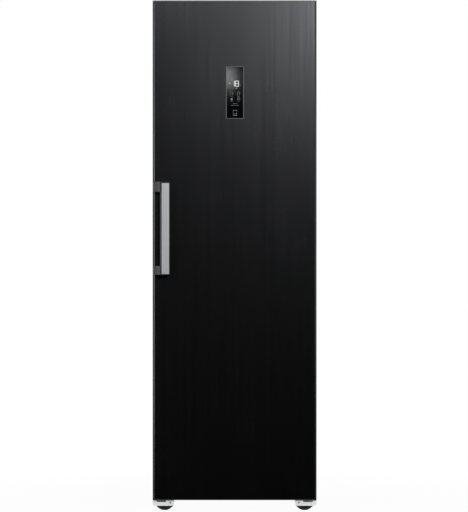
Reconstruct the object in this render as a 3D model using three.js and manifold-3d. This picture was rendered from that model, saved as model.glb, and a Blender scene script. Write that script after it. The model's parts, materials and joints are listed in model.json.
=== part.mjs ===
// Upright freezer with one door, built from named pieces.
// Millimetres, +Z up, the front faces -Y, and the origin is on the floor under the middle.
import * as THREE from "three";
import { mergeVertices } from "three/addons/utils/BufferGeometryUtils.js";
import Module from "manifold-3d";

const wasm = await Module();
wasm.setup();

// ---- Driving dimensions: cabinet ----
const cabinetWidth = 595;
const cabinetDepth = 583;
const cabinetHeight = 1804;
const standHeight = 38; // floor to the underside of the cabinet
const sheet = 1; // steel sheet of the cabinet and the door
const frontFlange = 40; // width of the steel the door seal sticks to
const backRecess = 10; // the back panel lies this far inside the side panels
const sideInsulation = 60;
const topInsulation = 62;
const floorInsulation = 66;
const backInsulation = 56;
const bayInsulation = 52;
const bayDepth = 212; // machine bay at the lower back
const bayHeight = 235;
const linerWall = 2;

// ---- Driving dimensions: shelves, drawers and flaps ----
const railWidth = 18;
const railBelowShelf = 8;
const railAboveShelf = 18;
const railGrooveDepth = 12;
const glassThickness = 4;
const glassClearance = 0.5;
const glassFrontGap = 2; // behind the lip of a flap
const lowestShelfRise = 6; // lowest shelf above the step over the machine bay
const flapShelfPitch = 215; // lower compartment with a flap
const topShelfDrop = 228; // ceiling of the cold space to the underside of the highest shelf
const drawersOnShelves = 4;
const frontSetback = 25; // drawer fronts behind the front of the cabinet
const drawerClearance = 2.5;
const drawerSeat = 0.3;
const drawerWall = 2.5;
const drawerHeadroom = 45; // what a drawer is lower than the pitch of the shelves
const drawerBackGap = 21; // behind a drawer
const drawerBackHeight = 150;
const drawerBackCut = 50; // length of a drawer's lower back part
const lowDrawerBackGap = 13;
const lowDrawerHeight = 190;
const gripSlotWidth = 150;
const gripSlotHeight = 24;
const gripSlotCorner = 8;
const gripSlotDrop = 34; // drawer's upper edge to the middle of its grip slot
const flapThickness = 3;
const flapHeight = 185; // pivot to the lower edge
const flapRise = 5; // pivot to the upper edge
const flapLip = 14;
const flapLipHeight = 8;
const pivotDrop = 11; // ceiling of a compartment to its flap's pivot
const pivotSetback = 5;
const pivotRadius = 3;
const pivotHoleRadius = 3.5;
const pivotReach = 14; // length of each pivot pin beyond the flap
const earHeight = 22;
const earDepth = 16;

// ---- Driving dimensions: cold air side ----
const ductDepth = 68; // face of the duct cover to the back of the liner
const ductCoverThickness = 3;
const fanRise = 66; // underside of the third shelf from below to the middle of the fan
const fanOpeningRadius = 66;
const fanTipRadius = 60;
const fanHubRadius = 14;
const fanHubLength = 14;
const fanHubGap = 1; // between the hub and the motor
const fanBladeRoot = 2; // length of a blade inside the hub
const fanBladeCount = 5;
const fanBladeChord = 22;
const fanBladeThickness = 1.8;
const fanBladePitch = 32; // degrees
const fanMotorRadius = 26;
const fanMotorLength = 30;
const shaftRadius = 2.5;
const shaftClearance = 0.4;
const shaftLength = 18;
const airSlotWidth = 150;
const airSlotHeight = 12;
const airSlotSpread = 110; // middle of the cover to the middle of a slot
const airSlotRise = 190; // shelf to the slot above it
const airSlotCorner = 4;
const evaporatorWidth = 380;
const evaporatorDepth = 56;
const evaporatorHeight = 300;
const evaporatorRise = 90; // above the step over the machine bay
const evaporatorFins = 8;
const finThickness = 2;
const evaporatorTubeRadius = 4;
const evaporatorTubeInset = 17; // front or back of the evaporator to a tube
const evaporatorTubeRise = 75; // top or bottom of the evaporator to a tube
const lampLength = 200;
const lampWidth = 22;
const lampHeight = 8;
const lampCorner = 5;
const lampSetback = 90;

// ---- Driving dimensions: machine bay ----
const baseSheet = 2;
const baseLip = 14;
const compressorX = -50;
const compressorFromBack = 106;
const compressorRadius = 84;
const compressorHeight = 148;
// The compressor's shell from its foot up to its side, then from its shoulder up to its top:
// how far each ring is inside the full radius, and how far above the foot or below the top.
const shellFootRings = [[22, 0], [6, 13], [0, 40]];
const shellTopRings = [[0, 53], [8, 23], [34, 4], [50, 0]];
const footPlateLength = 200;
const footPlateWidth = 132;
const footPlateThickness = 3;
const mountHeight = 12;
const mountRadius = 9;
const mountInset = 14;
const terminalCoverSize = [34, 58, 62];
const terminalCoverCorner = 6;
const seat = 0.3; // gap between a piece and the curved piece that carries it
const trayLength = 210;
const trayWidth = 150;
const trayHeight = 32;
const trayWall = 2;
const trayCorner = 12;
const pipeRadius = 3.2;
const pipeBend = 14;
const pipeTrayGap = 22;
const pipeSteps = 16;
const suctionPipeAngle = 0.35; // radians from the compressor's side towards the front
const dischargePipeAngle = 0.75;
const drierRadius = 9;
const drierLength = 90;
const drierCone = 11; // length of each tapered end
const drierDrop = 75; // ceiling of the bay to the top of the drier
const drierInset = 92.5; // middle of the drier to the side of the cabinet
const drierFromBack = 120;
const coilTubeRadius = 3;
const coilPasses = 8;
const coilPitch = 60;
const coilBottom = 420;
const coilHeight = 1030;
const coilPocket = 7;
const coilBendSteps = 6;
const boardCoverSize = [190, 9, 130];
const boardCoverCorner = 8;
const boardCoverX = 150;
const boardCoverZ = 1610;
const glandInset = 92.5; // middle of the gland to the side of the cabinet
const glandZ = 330;
const glandFlangeRadius = 15;
const glandNoseRadius = 9;
const glandBoreRadius = 5;
const glandBoreFloor = 1;
const glandFlangeThickness = 2.5;
const glandNoseLength = 7;

// ---- Driving dimensions: door ----
const doorThickness = 55;
const doorGap = 12; // between the door and the cabinet, filled by the seal
const doorRise = 9; // door above the top of the cabinet
const doorFloorGap = 1.5; // door above the level of the cabinet's underside
const doorEdgeRadius = 8;
const doorLinerThickness = 3;
const capLip = 3;
const capPlug = 26;
const sealInset = 17.5; // outer edge of the seal inside the edge of the cabinet
const sealWidth = 26;
const sealGap = 0.3;

// ---- Driving dimensions: hinges ----
const hingeInset = 14.5; // pin to the side of the cabinet
const hingeSetback = 30; // pin behind the front of the door
const hingePlate = 3;
const hingeArmRadius = 10;
const hingePlateSetback = 4; // behind the front of the cabinet
const hingePlateWidth = 68;
const hingePlateLength = 56;
const pinRadius = 4;
const pinHeadRadius = 6.5;
const pinHeadHeight = 2;
const pinReach = 15; // length of pin inside the door
const pinClearance = 0.35;
const bushRadius = 8;
const bushLength = 16;
const bushFlangeRadius = 11;
const bushFlange = 1.2;
const recessFront = 7; // steel and plastic left in front of the hinge recess
const recessSide = 2.5;
const recessGap = 0.5;
const hingeCoverHeight = 13;
const hingeCoverWall = 2;
const hingeCoverMargin = 5; // left of and behind the bracket
const hingeCoverSideMargin = 3;
const hingeCoverSetback = 1; // behind the front of the cabinet

// ---- Driving dimensions: handle ----
const handleReach = 38; // front of the handle before the door
const handleHeight = 336;
const handleMiddle = 1025;
const handleEndBlock = 34;
const handlePlateWidth = 28;
const handlePlateInset = 33.5; // outer edge of the plate to the side of the door
const handlePlateThickness = 2.5;
const handleBevel = 5.5;
const handleBarDepth = 9.5;
const handleRampStart = 6; // depth of the end blocks at the door's edge
const handleRampCurve = 6; // how tight the end blocks curve
const handlePlateLap = 1; // plate past the body on the side away from the door's edge
const handlePlateChamfer = 1;

// ---- Driving dimensions: display ----
const displayWidth = 66;
const displayHeight = 195;
const displayMiddleX = 1;
const displayMiddleZ = 1518;
const displayFrame = 3;
const displayStandOut = 1.2;
const displayCorner = 1.5;
const displayFlange = 2; // frame that lies on the door's steel
const displayDepth = 10;
const displayFloor = 2;
const displayGlassThickness = 3;
const displayClearance = 0.3;

// ---- Driving dimensions: feet and rollers ----
const footBracketWidth = 77;
const footBracketInset = 0.5;
const footBracketSetback = 6; // behind the front of the door
const footBracketUnder = 110; // length under the cabinet
const footBracketDrop = 19.5; // depth of the front lip
const footBracketSheet = 3;
const footBracketCorner = 8;
const bracketSlotWidth = 34;
const bracketSlotHeight = 6;
const bracketSlotInset = 14; // outer end of the bracket to the slot
const bracketSlotDepth = 12;
const bracketScrewInset = 13; // inner end of the bracket to the screw
const bracketScrewDrop = 8;
const bracketScrewRadius = 2.2;
const footInset = 43; // middle of a foot to the side of the cabinet
const footSetback = 44; // middle of a foot behind the front of the door
const footRadius = 31;
const footSoleRadius = 15;
const footHeight = 18;
const footRim = 5; // height of the foot's upright edge
const footDome = 6; // width and height of the slope under that edge
const footStemRadius = 5;
const footStemClearance = 0.5;
const footStemGap = 0.5; // stem to the underside of the cabinet
const rollerRadius = 17;
const rollerWidth = 20;
const rollerInset = 55; // middle of a roller to the side of the cabinet
const rollerFromBack = 45;
const rollerSideGap = 1;
const rollerEarThickness = 3;
const rollerEarHalf = 11;
const rollerPlateLength = 50;
const axleRadius = 3;
const axleClearance = 0.35;

// ---- Places worked out from the sizes ----
const halfWidth = cabinetWidth / 2;
const wholeDepth = handleReach + doorThickness + doorGap + cabinetDepth;
const backY = wholeDepth / 2;
const cabinetFrontY = backY - cabinetDepth;
const doorRearY = cabinetFrontY - doorGap;
const doorFrontY = doorRearY - doorThickness;
const handleFrontY = doorFrontY - handleReach;
const cabinetTop = standHeight + cabinetHeight;
const doorTop = cabinetTop + doorRise;
const doorBottom = standHeight + doorFloorGap;
const panelHalf = halfWidth - sheet;
const flangeHalf = halfWidth - frontFlange;
const flangeBottom = standHeight + frontFlange;
const flangeTop = cabinetTop - frontFlange;
const backPanelY = backY - backRecess;
const linerHalf = panelHalf - sideInsulation - linerWall;
const linerTop = cabinetTop - sheet - topInsulation - linerWall;
const linerFloor = standHeight + sheet + floorInsulation + linerWall;
const linerBackY = backPanelY - sheet - backInsulation - linerWall;
const bayFrontY = backY - bayDepth;
const bayTop = standHeight + bayHeight;
const stepFrontY = bayFrontY - sheet - bayInsulation - linerWall;
const stepTop = bayTop + sheet + bayInsulation + linerWall;
const ductFaceY = linerBackY - ductDepth;
const drawerFrontY = cabinetFrontY + frontSetback;
const drawerHalf = linerHalf - railWidth - drawerClearance;
const glandX = glandInset - halfWidth;
const drierX = halfWidth - drierInset;
const coilHalfSpan = ((coilPasses - 1) * coilPitch) / 2;
const hingeX = halfWidth - hingeInset;
const hingeY = doorFrontY + hingeSetback;

// The drawers on shelves share the height between the step and the compartments with a flap.
const lowestShelf = stepTop + lowestShelfRise;
const highestShelf = linerTop - topShelfDrop;
const drawerPitch = (highestShelf - flapShelfPitch - lowestShelf) / drawersOnShelves;
const drawerHeight = drawerPitch - drawerHeadroom;
const drawerDepth = ductFaceY - drawerBackGap - drawerFrontY;
const lowDrawerDepth = stepFrontY - lowDrawerBackGap - drawerFrontY;
// Undersides of the glass shelves, from the lowest to the highest.
const shelfLevels = [];
for (let i = 0; i <= drawersOnShelves; i++) {
  shelfLevels.push(lowestShelf + i * drawerPitch);
}
shelfLevels.push(highestShelf);
// Ceilings of the two compartments with a flap, the upper one first.
const flapCeilings = [linerTop, highestShelf - railBelowShelf];
const fanHeight = shelfLevels[2] + fanRise;

// ---- Finishes ----
const blackSteel = { color: 0x1d1e20, roughness: 0.38, metalness: 0.85 };
const blackPlastic = { color: 0x151618, roughness: 0.5, metalness: 0 };
const greyPlastic = { color: 0x4a4b4d, roughness: 0.45, metalness: 0 };
const satinAluminium = { color: 0xb4b5b8, roughness: 0.3, metalness: 1 };
const zincSteel = { color: 0xd6d8dc, roughness: 0.35, metalness: 0.9 };
const greySteel = { color: 0x3a3c3f, roughness: 0.45, metalness: 0.6 };
const whitePlastic = { color: 0xeef0f1, roughness: 0.4, metalness: 0 };
const clearPlastic = { color: 0xdfe8ee, roughness: 0.2, metalness: 0, transparent: true, opacity: 0.5 };
const clearGlass = { color: 0xe6f2ee, roughness: 0.05, metalness: 0, transparent: true, opacity: 0.35 };
const blackGlass = { color: 0x060607, roughness: 0.05, metalness: 0 };
const whiteFoam = { color: 0xe9e2c4, roughness: 0.95, metalness: 0 };
const sealRubber = { color: 0x8b8d8f, roughness: 0.7, metalness: 0 };
const footRubber = { color: 0x101112, roughness: 0.7, metalness: 0 };
const copper = { color: 0xb4683c, roughness: 0.35, metalness: 1 };
const brightAluminium = { color: 0xc9ccd0, roughness: 0.35, metalness: 1 };
const enamelBlack = { color: 0x0d0d0e, roughness: 0.25, metalness: 0.2 };

// ---- Making and cutting solids ----
const roundSides = 24;
const over = 1; // how far a cut or a joined solid reaches past the face that it starts from

// A closed three.js geometry as a solid that can be joined and cut.
function solid(geometry) {
  const bare = new THREE.BufferGeometry();
  bare.setAttribute("position", geometry.getAttribute("position"));
  bare.setIndex(geometry.getIndex());
  const merged = mergeVertices(bare, 1e-4);
  const vertProperties = merged.getAttribute("position").array;
  const triVerts = new Uint32Array(merged.getIndex().array);
  return new wasm.Manifold(new wasm.Mesh({ numProp: 3, vertProperties, triVerts }));
}

// A box between two limits on each axis.
function block([x0, x1], [y0, y1], [z0, z1]) {
  const box = new THREE.BoxGeometry(x1 - x0, y1 - y0, z1 - z0);
  box.translate((x0 + x1) / 2, (y0 + y1) / 2, (z0 + z1) / 2);
  return solid(box);
}

// An outline drawn in X and Y, extruded upwards between two heights.
function upright(shape, [z0, z1]) {
  const body = new THREE.ExtrudeGeometry(shape, { depth: z1 - z0, bevelEnabled: false, curveSegments: 6 });
  body.translate(0, 0, z0);
  return solid(body);
}

// An outline drawn in X and Z, extruded between two places on Y.
function facing(shape, [y0, y1], curveSegments = 6) {
  const body = new THREE.ExtrudeGeometry(shape, { depth: y1 - y0, bevelEnabled: false, curveSegments });
  body.rotateX(Math.PI / 2);
  body.translate(0, y1, 0);
  return solid(body);
}

// An outline drawn in Y and Z, extruded between two places on X.
function across(shape, [x0, x1]) {
  const body = new THREE.ExtrudeGeometry(shape, { depth: x1 - x0, bevelEnabled: false, curveSegments: 6 });
  body.rotateY(Math.PI / 2);
  body.rotateX(Math.PI / 2);
  body.translate(x0, 0, 0);
  return solid(body);
}

// A cylinder along one axis ("x", "y" or "z") between two places on it.
function cylinder(axis, [x, y, z], radius, [from, to], sides = roundSides) {
  const body = new THREE.CylinderGeometry(radius, radius, to - from, sides);
  body.translate(0, (from + to) / 2, 0);
  if (axis === "x") body.rotateZ(-Math.PI / 2);
  if (axis === "z") body.rotateX(Math.PI / 2);
  body.translate(x, y, z);
  return solid(body);
}

// A turned piece: its profile of [radius, height] goes up from the axis and back to it.
function turned(profile, [x, y, z]) {
  const points = profile.map(([radius, height]) => new THREE.Vector2(radius, height));
  const body = new THREE.LatheGeometry(points, roundSides);
  body.rotateX(Math.PI / 2);
  body.translate(x, y, z);
  return solid(body);
}

// A round tube along a smooth curve through the points.
function tube(points, radius, steps, sides = 8) {
  const path = new THREE.CatmullRomCurve3(points.map((p) => new THREE.Vector3(...p)), false, "centripetal");
  const section = new THREE.Shape();
  section.absarc(0, 0, radius, 0, 2 * Math.PI, false);
  const options = { steps, curveSegments: sides / 2, extrudePath: path };
  return solid(new THREE.ExtrudeGeometry(section, options));
}

// A closed outline from a list of points.
function outline(points) {
  return new THREE.Shape(points.map(([a, b]) => new THREE.Vector2(a, b)));
}

// A rectangle with round corners, drawn round a middle.
function roundedRectangle(a, b, width, height, radius) {
  const shape = new THREE.Shape();
  const left = a - width / 2;
  const low = b - height / 2;
  shape.moveTo(left + radius, low);
  shape.lineTo(left + width - radius, low);
  shape.absarc(left + width - radius, low + radius, radius, -Math.PI / 2, 0, false);
  shape.lineTo(left + width, low + height - radius);
  shape.absarc(left + width - radius, low + height - radius, radius, 0, Math.PI / 2, false);
  shape.lineTo(left + radius, low + height);
  shape.absarc(left + radius, low + height - radius, radius, Math.PI / 2, Math.PI, false);
  shape.lineTo(left, low + radius);
  shape.absarc(left + radius, low + radius, radius, Math.PI, 1.5 * Math.PI, false);
  return shape;
}

function joined(solids) {
  return solids.reduce((whole, next) => whole.add(next));
}

const freezer = new THREE.Group();

// Puts a solid into a group as a named mesh with a finish of its own.
function piece(name, body, finish, group = freezer) {
  const made = body.getMesh();
  const geometry = new THREE.BufferGeometry();
  geometry.setAttribute("position", new THREE.BufferAttribute(made.vertProperties, 3));
  geometry.setIndex(new THREE.BufferAttribute(made.triVerts, 1));
  const flat = geometry.toNonIndexed();
  flat.computeVertexNormals();
  const mesh = new THREE.Mesh(flat, new THREE.MeshStandardMaterial(finish));
  mesh.name = name;
  group.add(mesh);
  return mesh;
}

// ---- Cabinet ----
// Outline in Y and Z of the cold space with its step over the machine bay, grown by a margin.
function coldOutline(margin) {
  return outline([
    [cabinetFrontY - over, linerFloor - margin],
    [stepFrontY + margin, linerFloor - margin],
    [stepFrontY + margin, stepTop - margin],
    [linerBackY + margin, stepTop - margin],
    [linerBackY + margin, linerTop + margin],
    [cabinetFrontY - over, linerTop + margin],
  ]);
}

function coldSpace(margin) {
  return across(coldOutline(margin), [-linerHalf - margin, linerHalf + margin]);
}

function makeSidePanel(side) {
  const bent = outline([
    [side * flangeHalf, cabinetFrontY],
    [side * halfWidth, cabinetFrontY],
    [side * halfWidth, backY],
    [side * panelHalf, backY],
    [side * panelHalf, cabinetFrontY + sheet],
    [side * flangeHalf, cabinetFrontY + sheet],
  ]);
  return upright(bent, [standHeight, cabinetTop - sheet]);
}

function makeTopPanel() {
  const frontY = [cabinetFrontY, cabinetFrontY + sheet];
  const plate = block([-halfWidth, halfWidth], [cabinetFrontY, backY], [cabinetTop - sheet, cabinetTop]);
  return plate.add(block([-flangeHalf, flangeHalf], frontY, [flangeTop, cabinetTop]));
}

function makeBackPanel() {
  const y = [backPanelY - sheet, backPanelY];
  return block([-panelHalf, panelHalf], y, [bayTop + sheet, cabinetTop - sheet]);
}

function makeBasePan() {
  const z = [standHeight, standHeight + sheet];
  const pan = block([-panelHalf, panelHalf], [cabinetFrontY + sheet, bayFrontY - sheet], z);
  const fold = block([-flangeHalf, flangeHalf], [cabinetFrontY, cabinetFrontY + 2 * sheet], z);
  const frontY = [cabinetFrontY, cabinetFrontY + sheet];
  const flange = block([-flangeHalf, flangeHalf], frontY, [standHeight, flangeBottom]);
  return joined([pan, fold, flange]);
}

function makeFoam() {
  const filling = block(
    [-panelHalf, panelHalf],
    [cabinetFrontY + sheet, backPanelY - sheet],
    [standHeight + sheet, cabinetTop - sheet],
  );
  const bay = block([-halfWidth, halfWidth], [bayFrontY - sheet, backY], [standHeight, bayTop + sheet]);
  const linerFace = block(
    [-flangeHalf, flangeHalf],
    [cabinetFrontY, cabinetFrontY + linerWall],
    [flangeBottom, flangeTop],
  );
  const coilRoom = block(
    [-coilHalfSpan - coilPitch / 2, coilHalfSpan + coilPitch / 2],
    [backPanelY - sheet - coilPocket, backPanelY],
    [coilBottom - coilPitch, coilBottom + coilHeight + coilPitch],
  );
  return filling.subtract(coldSpace(linerWall)).subtract(bay).subtract(linerFace).subtract(coilRoom);
}

// A rail holds a glass shelf in its groove and guides the drawer that stands on the shelf.
function makeRail(side, level) {
  const inner = side * (linerHalf - railWidth);
  const grooveEnd = side * (linerHalf - railWidth + railGrooveDepth);
  const outer = side * (linerHalf + linerWall / 2);
  const y = [drawerFrontY, ductFaceY - seat];
  const x = [Math.min(inner, outer), Math.max(inner, outer)];
  const rail = block(x, y, [level - railBelowShelf, level + railAboveShelf]);
  const open = side * (linerHalf - railWidth - over);
  const groove = block(
    [Math.min(open, grooveEnd), Math.max(open, grooveEnd)],
    [y[0] - over, y[1] + over],
    [level, level + glassThickness + glassClearance],
  );
  return rail.subtract(groove);
}

function makeFloorRail(side) {
  const inner = side * (linerHalf - railWidth);
  const outer = side * (linerHalf + linerWall / 2);
  const x = [Math.min(inner, outer), Math.max(inner, outer)];
  const y = [drawerFrontY, stepFrontY + linerWall / 2];
  return block(x, y, [linerFloor - linerWall / 2, linerFloor + railAboveShelf]);
}

// An ear with the hole that a flap's pivot pin turns in.
function makeEar(side, ceiling) {
  const inner = side * (linerHalf - railWidth);
  const outer = side * (linerHalf + linerWall / 2);
  const x = [Math.min(inner, outer), Math.max(inner, outer)];
  const y = [drawerFrontY, drawerFrontY + earDepth];
  const ear = block(x, y, [ceiling - earHeight, ceiling + linerWall / 2]);
  const middle = [0, drawerFrontY + pivotSetback, ceiling - pivotDrop];
  const reach = side * (linerHalf - drawerClearance + over);
  return ear.subtract(cylinder("x", middle, pivotHoleRadius, [Math.min(0, reach), Math.max(0, reach)], 16));
}

function makeLiner() {
  const shell = coldSpace(linerWall).subtract(coldSpace(0));
  const front = block([-halfWidth, halfWidth], [cabinetFrontY - 2 * over, cabinetFrontY], [0, doorTop]);
  const face = block(
    [-flangeHalf, flangeHalf],
    [cabinetFrontY, cabinetFrontY + linerWall],
    [flangeBottom, flangeTop],
  );
  const mouth = block(
    [-linerHalf, linerHalf],
    [cabinetFrontY - over, cabinetFrontY + linerWall + over],
    [linerFloor, linerTop],
  );
  const steelFace = block([-halfWidth, halfWidth], [cabinetFrontY, cabinetFrontY + sheet], [0, flangeBottom]);
  const fittings = [-1, 1].flatMap((side) => [
    ...shelfLevels.map((level) => makeRail(side, level)),
    ...flapCeilings.map((ceiling) => makeEar(side, ceiling)),
    makeFloorRail(side),
  ]);
  return joined([shell.subtract(front), face.subtract(mouth), ...fittings]).subtract(steelFace);
}

function makeBayWall() {
  const bent = outline([
    [bayFrontY - sheet, standHeight],
    [bayFrontY, standHeight],
    [bayFrontY, bayTop],
    [backPanelY, bayTop],
    [backPanelY, bayTop + sheet],
    [bayFrontY - sheet, bayTop + sheet],
  ]);
  return across(bent, [-panelHalf, panelHalf]);
}

function makeMachineBase() {
  const x = [-panelHalf, panelHalf];
  const plate = block(x, [bayFrontY, backY], [standHeight, standHeight + baseSheet]);
  return plate.add(block(x, [backY - baseSheet, backY], [standHeight, standHeight + baseLip]));
}

piece("side_panel_left", makeSidePanel(-1), blackSteel);
piece("side_panel_right", makeSidePanel(1), blackSteel);
piece("top_panel", makeTopPanel(), blackSteel);
piece("back_panel", makeBackPanel(), greySteel);
piece("base_pan", makeBasePan(), zincSteel);
piece("cabinet_foam", makeFoam(), whiteFoam);
piece("inner_liner", makeLiner(), whitePlastic);
piece("machine_bay_wall", makeBayWall(), zincSteel);
piece("machine_base", makeMachineBase(), zincSteel);

// ---- Glass shelves ----
const glassHalf = linerHalf - railWidth + railGrooveDepth - glassClearance;
shelfLevels.forEach((level, i) => {
  const glass = block(
    [-glassHalf, glassHalf],
    [drawerFrontY + flapLip + glassFrontGap, ductFaceY - drawerClearance],
    [0, glassThickness],
  );
  const shelf = piece(`glass_shelf_${shelfLevels.length - i}`, glass, clearGlass);
  shelf.position.z = level;
});

// ---- Cold air side ----
function makeDuctCover() {
  const coverY = [ductFaceY, ductFaceY + ductCoverThickness];
  const cover = block([-linerHalf, linerHalf], coverY, [stepTop, linerTop]);
  const holeDepth = [ductFaceY - over, ductFaceY + ductCoverThickness + over];
  const holes = [cylinder("y", [0, 0, fanHeight], fanOpeningRadius, holeDepth)];
  for (const level of shelfLevels) {
    for (const side of [-1, 1]) {
      const height = level + glassThickness + airSlotRise;
      const slot = roundedRectangle(side * airSlotSpread, height, airSlotWidth, airSlotHeight, airSlotCorner);
      holes.push(facing(slot, holeDepth, 2));
    }
  }
  return cover.subtract(joined(holes));
}

function makeEvaporator() {
  const y = [linerBackY - evaporatorDepth, linerBackY];
  const z = [stepTop + evaporatorRise, stepTop + evaporatorRise + evaporatorHeight];
  const solids = [];
  const pitch = (evaporatorWidth - finThickness) / (evaporatorFins - 1);
  for (let i = 0; i < evaporatorFins; i++) {
    const x = -evaporatorWidth / 2 + i * pitch;
    solids.push(block([x, x + finThickness], y, z));
  }
  const reach = evaporatorWidth / 2 + evaporatorTubeRadius;
  for (const tubeY of [y[0] + evaporatorTubeInset, y[1] - evaporatorTubeInset]) {
    for (const tubeZ of [z[0] + evaporatorTubeRise, z[1] - evaporatorTubeRise]) {
      const middle = [0, tubeY, tubeZ];
      solids.push(cylinder("x", middle, evaporatorTubeRadius, [-reach, reach], 6));
    }
  }
  return joined(solids);
}

const motorFaceY = linerBackY - fanMotorLength;

function makeFanMotor() {
  const middle = [0, 0, fanHeight];
  const can = cylinder("y", middle, fanMotorRadius, [motorFaceY, linerBackY]);
  return can.add(cylinder("y", middle, shaftRadius, [motorFaceY - shaftLength, motorFaceY + over], 12));
}

function makeFanBlades() {
  const middle = [0, 0, fanHeight];
  const hubFront = motorFaceY - fanHubGap - fanHubLength;
  const hub = cylinder("y", middle, fanHubRadius, [hubFront, hubFront + fanHubLength]);
  const blades = [];
  for (let i = 0; i < fanBladeCount; i++) {
    const length = fanTipRadius - fanHubRadius + fanBladeRoot;
    const blade = new THREE.BoxGeometry(length, fanBladeThickness, fanBladeChord);
    blade.rotateX(THREE.MathUtils.degToRad(fanBladePitch));
    blade.translate(fanHubRadius - fanBladeRoot + length / 2, hubFront + fanHubLength / 2, 0);
    blade.rotateY((i * 2 * Math.PI) / fanBladeCount);
    blade.translate(0, 0, fanHeight);
    blades.push(solid(blade));
  }
  const bore = cylinder("y", middle, shaftRadius + shaftClearance, [hubFront - over, motorFaceY], 12);
  return joined([hub, ...blades]).subtract(bore);
}

function makeLamp() {
  const y = cabinetFrontY + lampSetback;
  const lens = roundedRectangle(0, y + lampWidth / 2, lampLength, lampWidth, lampCorner);
  return upright(lens, [linerTop - lampHeight, linerTop]);
}

piece("air_duct_cover", makeDuctCover(), whitePlastic);
piece("evaporator", makeEvaporator(), brightAluminium);
piece("fan_motor", makeFanMotor(), greySteel);
piece("fan_blades", makeFanBlades(), blackPlastic);
piece("interior_light", makeLamp(), clearPlastic);

// ---- Drawers ----
// A drawer stands with its underside at height 0 until it is placed.
function makeDrawer(depth, height) {
  const y = [drawerFrontY, drawerFrontY + depth];
  const tub = block([-drawerHalf, drawerHalf], y, [0, height]);
  const inside = block(
    [-drawerHalf + drawerWall, drawerHalf - drawerWall],
    [y[0] + drawerWall, y[1] - drawerWall],
    [drawerWall, height + over],
  );
  const lowBack = block(
    [-drawerHalf - over, drawerHalf + over],
    [y[1] - drawerBackCut, y[1] + over],
    [Math.min(drawerBackHeight, height - gripSlotDrop), height + over],
  );
  const slotShape = roundedRectangle(0, height - gripSlotDrop, gripSlotWidth, gripSlotHeight, gripSlotCorner);
  const slot = facing(slotShape, [y[0] - over, y[0] + drawerWall + over]);
  return tub.subtract(inside).subtract(lowBack).subtract(slot);
}

for (let i = 0; i < drawersOnShelves; i++) {
  const drawer = piece(`drawer_${drawersOnShelves - i}`, makeDrawer(drawerDepth, drawerHeight), clearPlastic);
  drawer.position.z = shelfLevels[i] + glassThickness + drawerSeat;
}
const lowDrawer = piece(
  `drawer_${drawersOnShelves + 1}`,
  makeDrawer(lowDrawerDepth, lowDrawerHeight),
  clearPlastic,
);
lowDrawer.position.z = linerFloor + drawerSeat;

// ---- Flaps ----
// A flap hangs from the height 0 of its pivot until it is placed.
function makeFlap() {
  const y = [drawerFrontY, drawerFrontY + flapThickness];
  const plate = block([-drawerHalf, drawerHalf], y, [-flapHeight, flapRise]);
  const lipZ = [-flapHeight, -flapHeight + flapLipHeight];
  const lip = block([-drawerHalf, drawerHalf], [y[0], y[0] + flapLip], lipZ);
  const middle = [0, drawerFrontY + pivotSetback, 0];
  const pins = cylinder("x", middle, pivotRadius, [-drawerHalf - pivotReach, drawerHalf + pivotReach], 12);
  return joined([plate, lip, pins]);
}

flapCeilings.forEach((ceiling, i) => {
  const flap = piece(`flap_${i + 1}`, makeFlap(), clearPlastic);
  flap.position.z = ceiling - pivotDrop;
});

// ---- Machine bay ----
const compressorY = backY - compressorFromBack;
const baseTop = standHeight + baseSheet;
const plateTop = baseTop + mountHeight + footPlateThickness;
const compressorTop = plateTop + compressorHeight;

function makeCompressor() {
  const shell = turned(
    [
      [0, 0],
      ...shellFootRings.map(([inset, rise]) => [compressorRadius - inset, rise]),
      ...shellTopRings.map(([inset, drop]) => [compressorRadius - inset, compressorHeight - drop]),
      [0, compressorHeight],
    ],
    [compressorX, compressorY, plateTop],
  );
  const plateShape = roundedRectangle(compressorX, compressorY, footPlateLength, footPlateWidth, mountInset);
  const plate = upright(plateShape, [plateTop - footPlateThickness, plateTop + over]);
  const mounts = [];
  for (const sideX of [-1, 1]) {
    for (const sideY of [-1, 1]) {
      const x = compressorX + sideX * (footPlateLength / 2 - mountInset);
      const y = compressorY + sideY * (footPlateWidth / 2 - mountInset);
      mounts.push(cylinder("z", [x, y, 0], mountRadius, [baseTop, plateTop - over], 12));
    }
  }
  return joined([shell, plate, ...mounts]);
}

function makeTerminalCover() {
  const [length, width, height] = terminalCoverSize;
  const x = compressorX + compressorRadius + seat;
  const z = plateTop + compressorHeight / 2;
  const cover = roundedRectangle(x + length / 2, compressorY, length, width, terminalCoverCorner);
  return upright(cover, [z - height / 2, z + height / 2]);
}

function makeTray() {
  const outer = roundedRectangle(compressorX, compressorY, trayLength, trayWidth, trayCorner);
  const innerLength = trayLength - 2 * trayWall;
  const innerWidth = trayWidth - 2 * trayWall;
  const inner = roundedRectangle(compressorX, compressorY, innerLength, innerWidth, trayCorner - trayWall);
  const z = compressorTop + seat;
  return upright(outer, [z, z + trayHeight]).subtract(upright(inner, [z + trayWall, z + trayHeight + over]));
}

// Each pipe leaves the compressor square to its side, bends upwards beside the tray and meets the ceiling.
function makePipe(side, forwardAngle) {
  const outX = side * Math.cos(forwardAngle);
  const outY = -Math.sin(forwardAngle);
  const startZ = plateTop + compressorHeight / 2;
  const from = (distance, z) => [compressorX + outX * distance, compressorY + outY * distance, z];
  const riseX = compressorX + side * (trayLength / 2 + pipeTrayGap);
  const riseY = compressorY + outY * (compressorRadius + 2 * pipeBend);
  const points = [
    from(compressorRadius + seat, startZ),
    from(compressorRadius + pipeBend, startZ),
    [riseX - side * pipeBend, riseY, startZ + pipeBend / 3],
    [riseX, riseY, startZ + 2 * pipeBend],
    [riseX, riseY, bayTop - 4 * pipeBend],
    [riseX, riseY, bayTop - seat],
  ];
  return tube(points, pipeRadius, pipeSteps);
}

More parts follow.
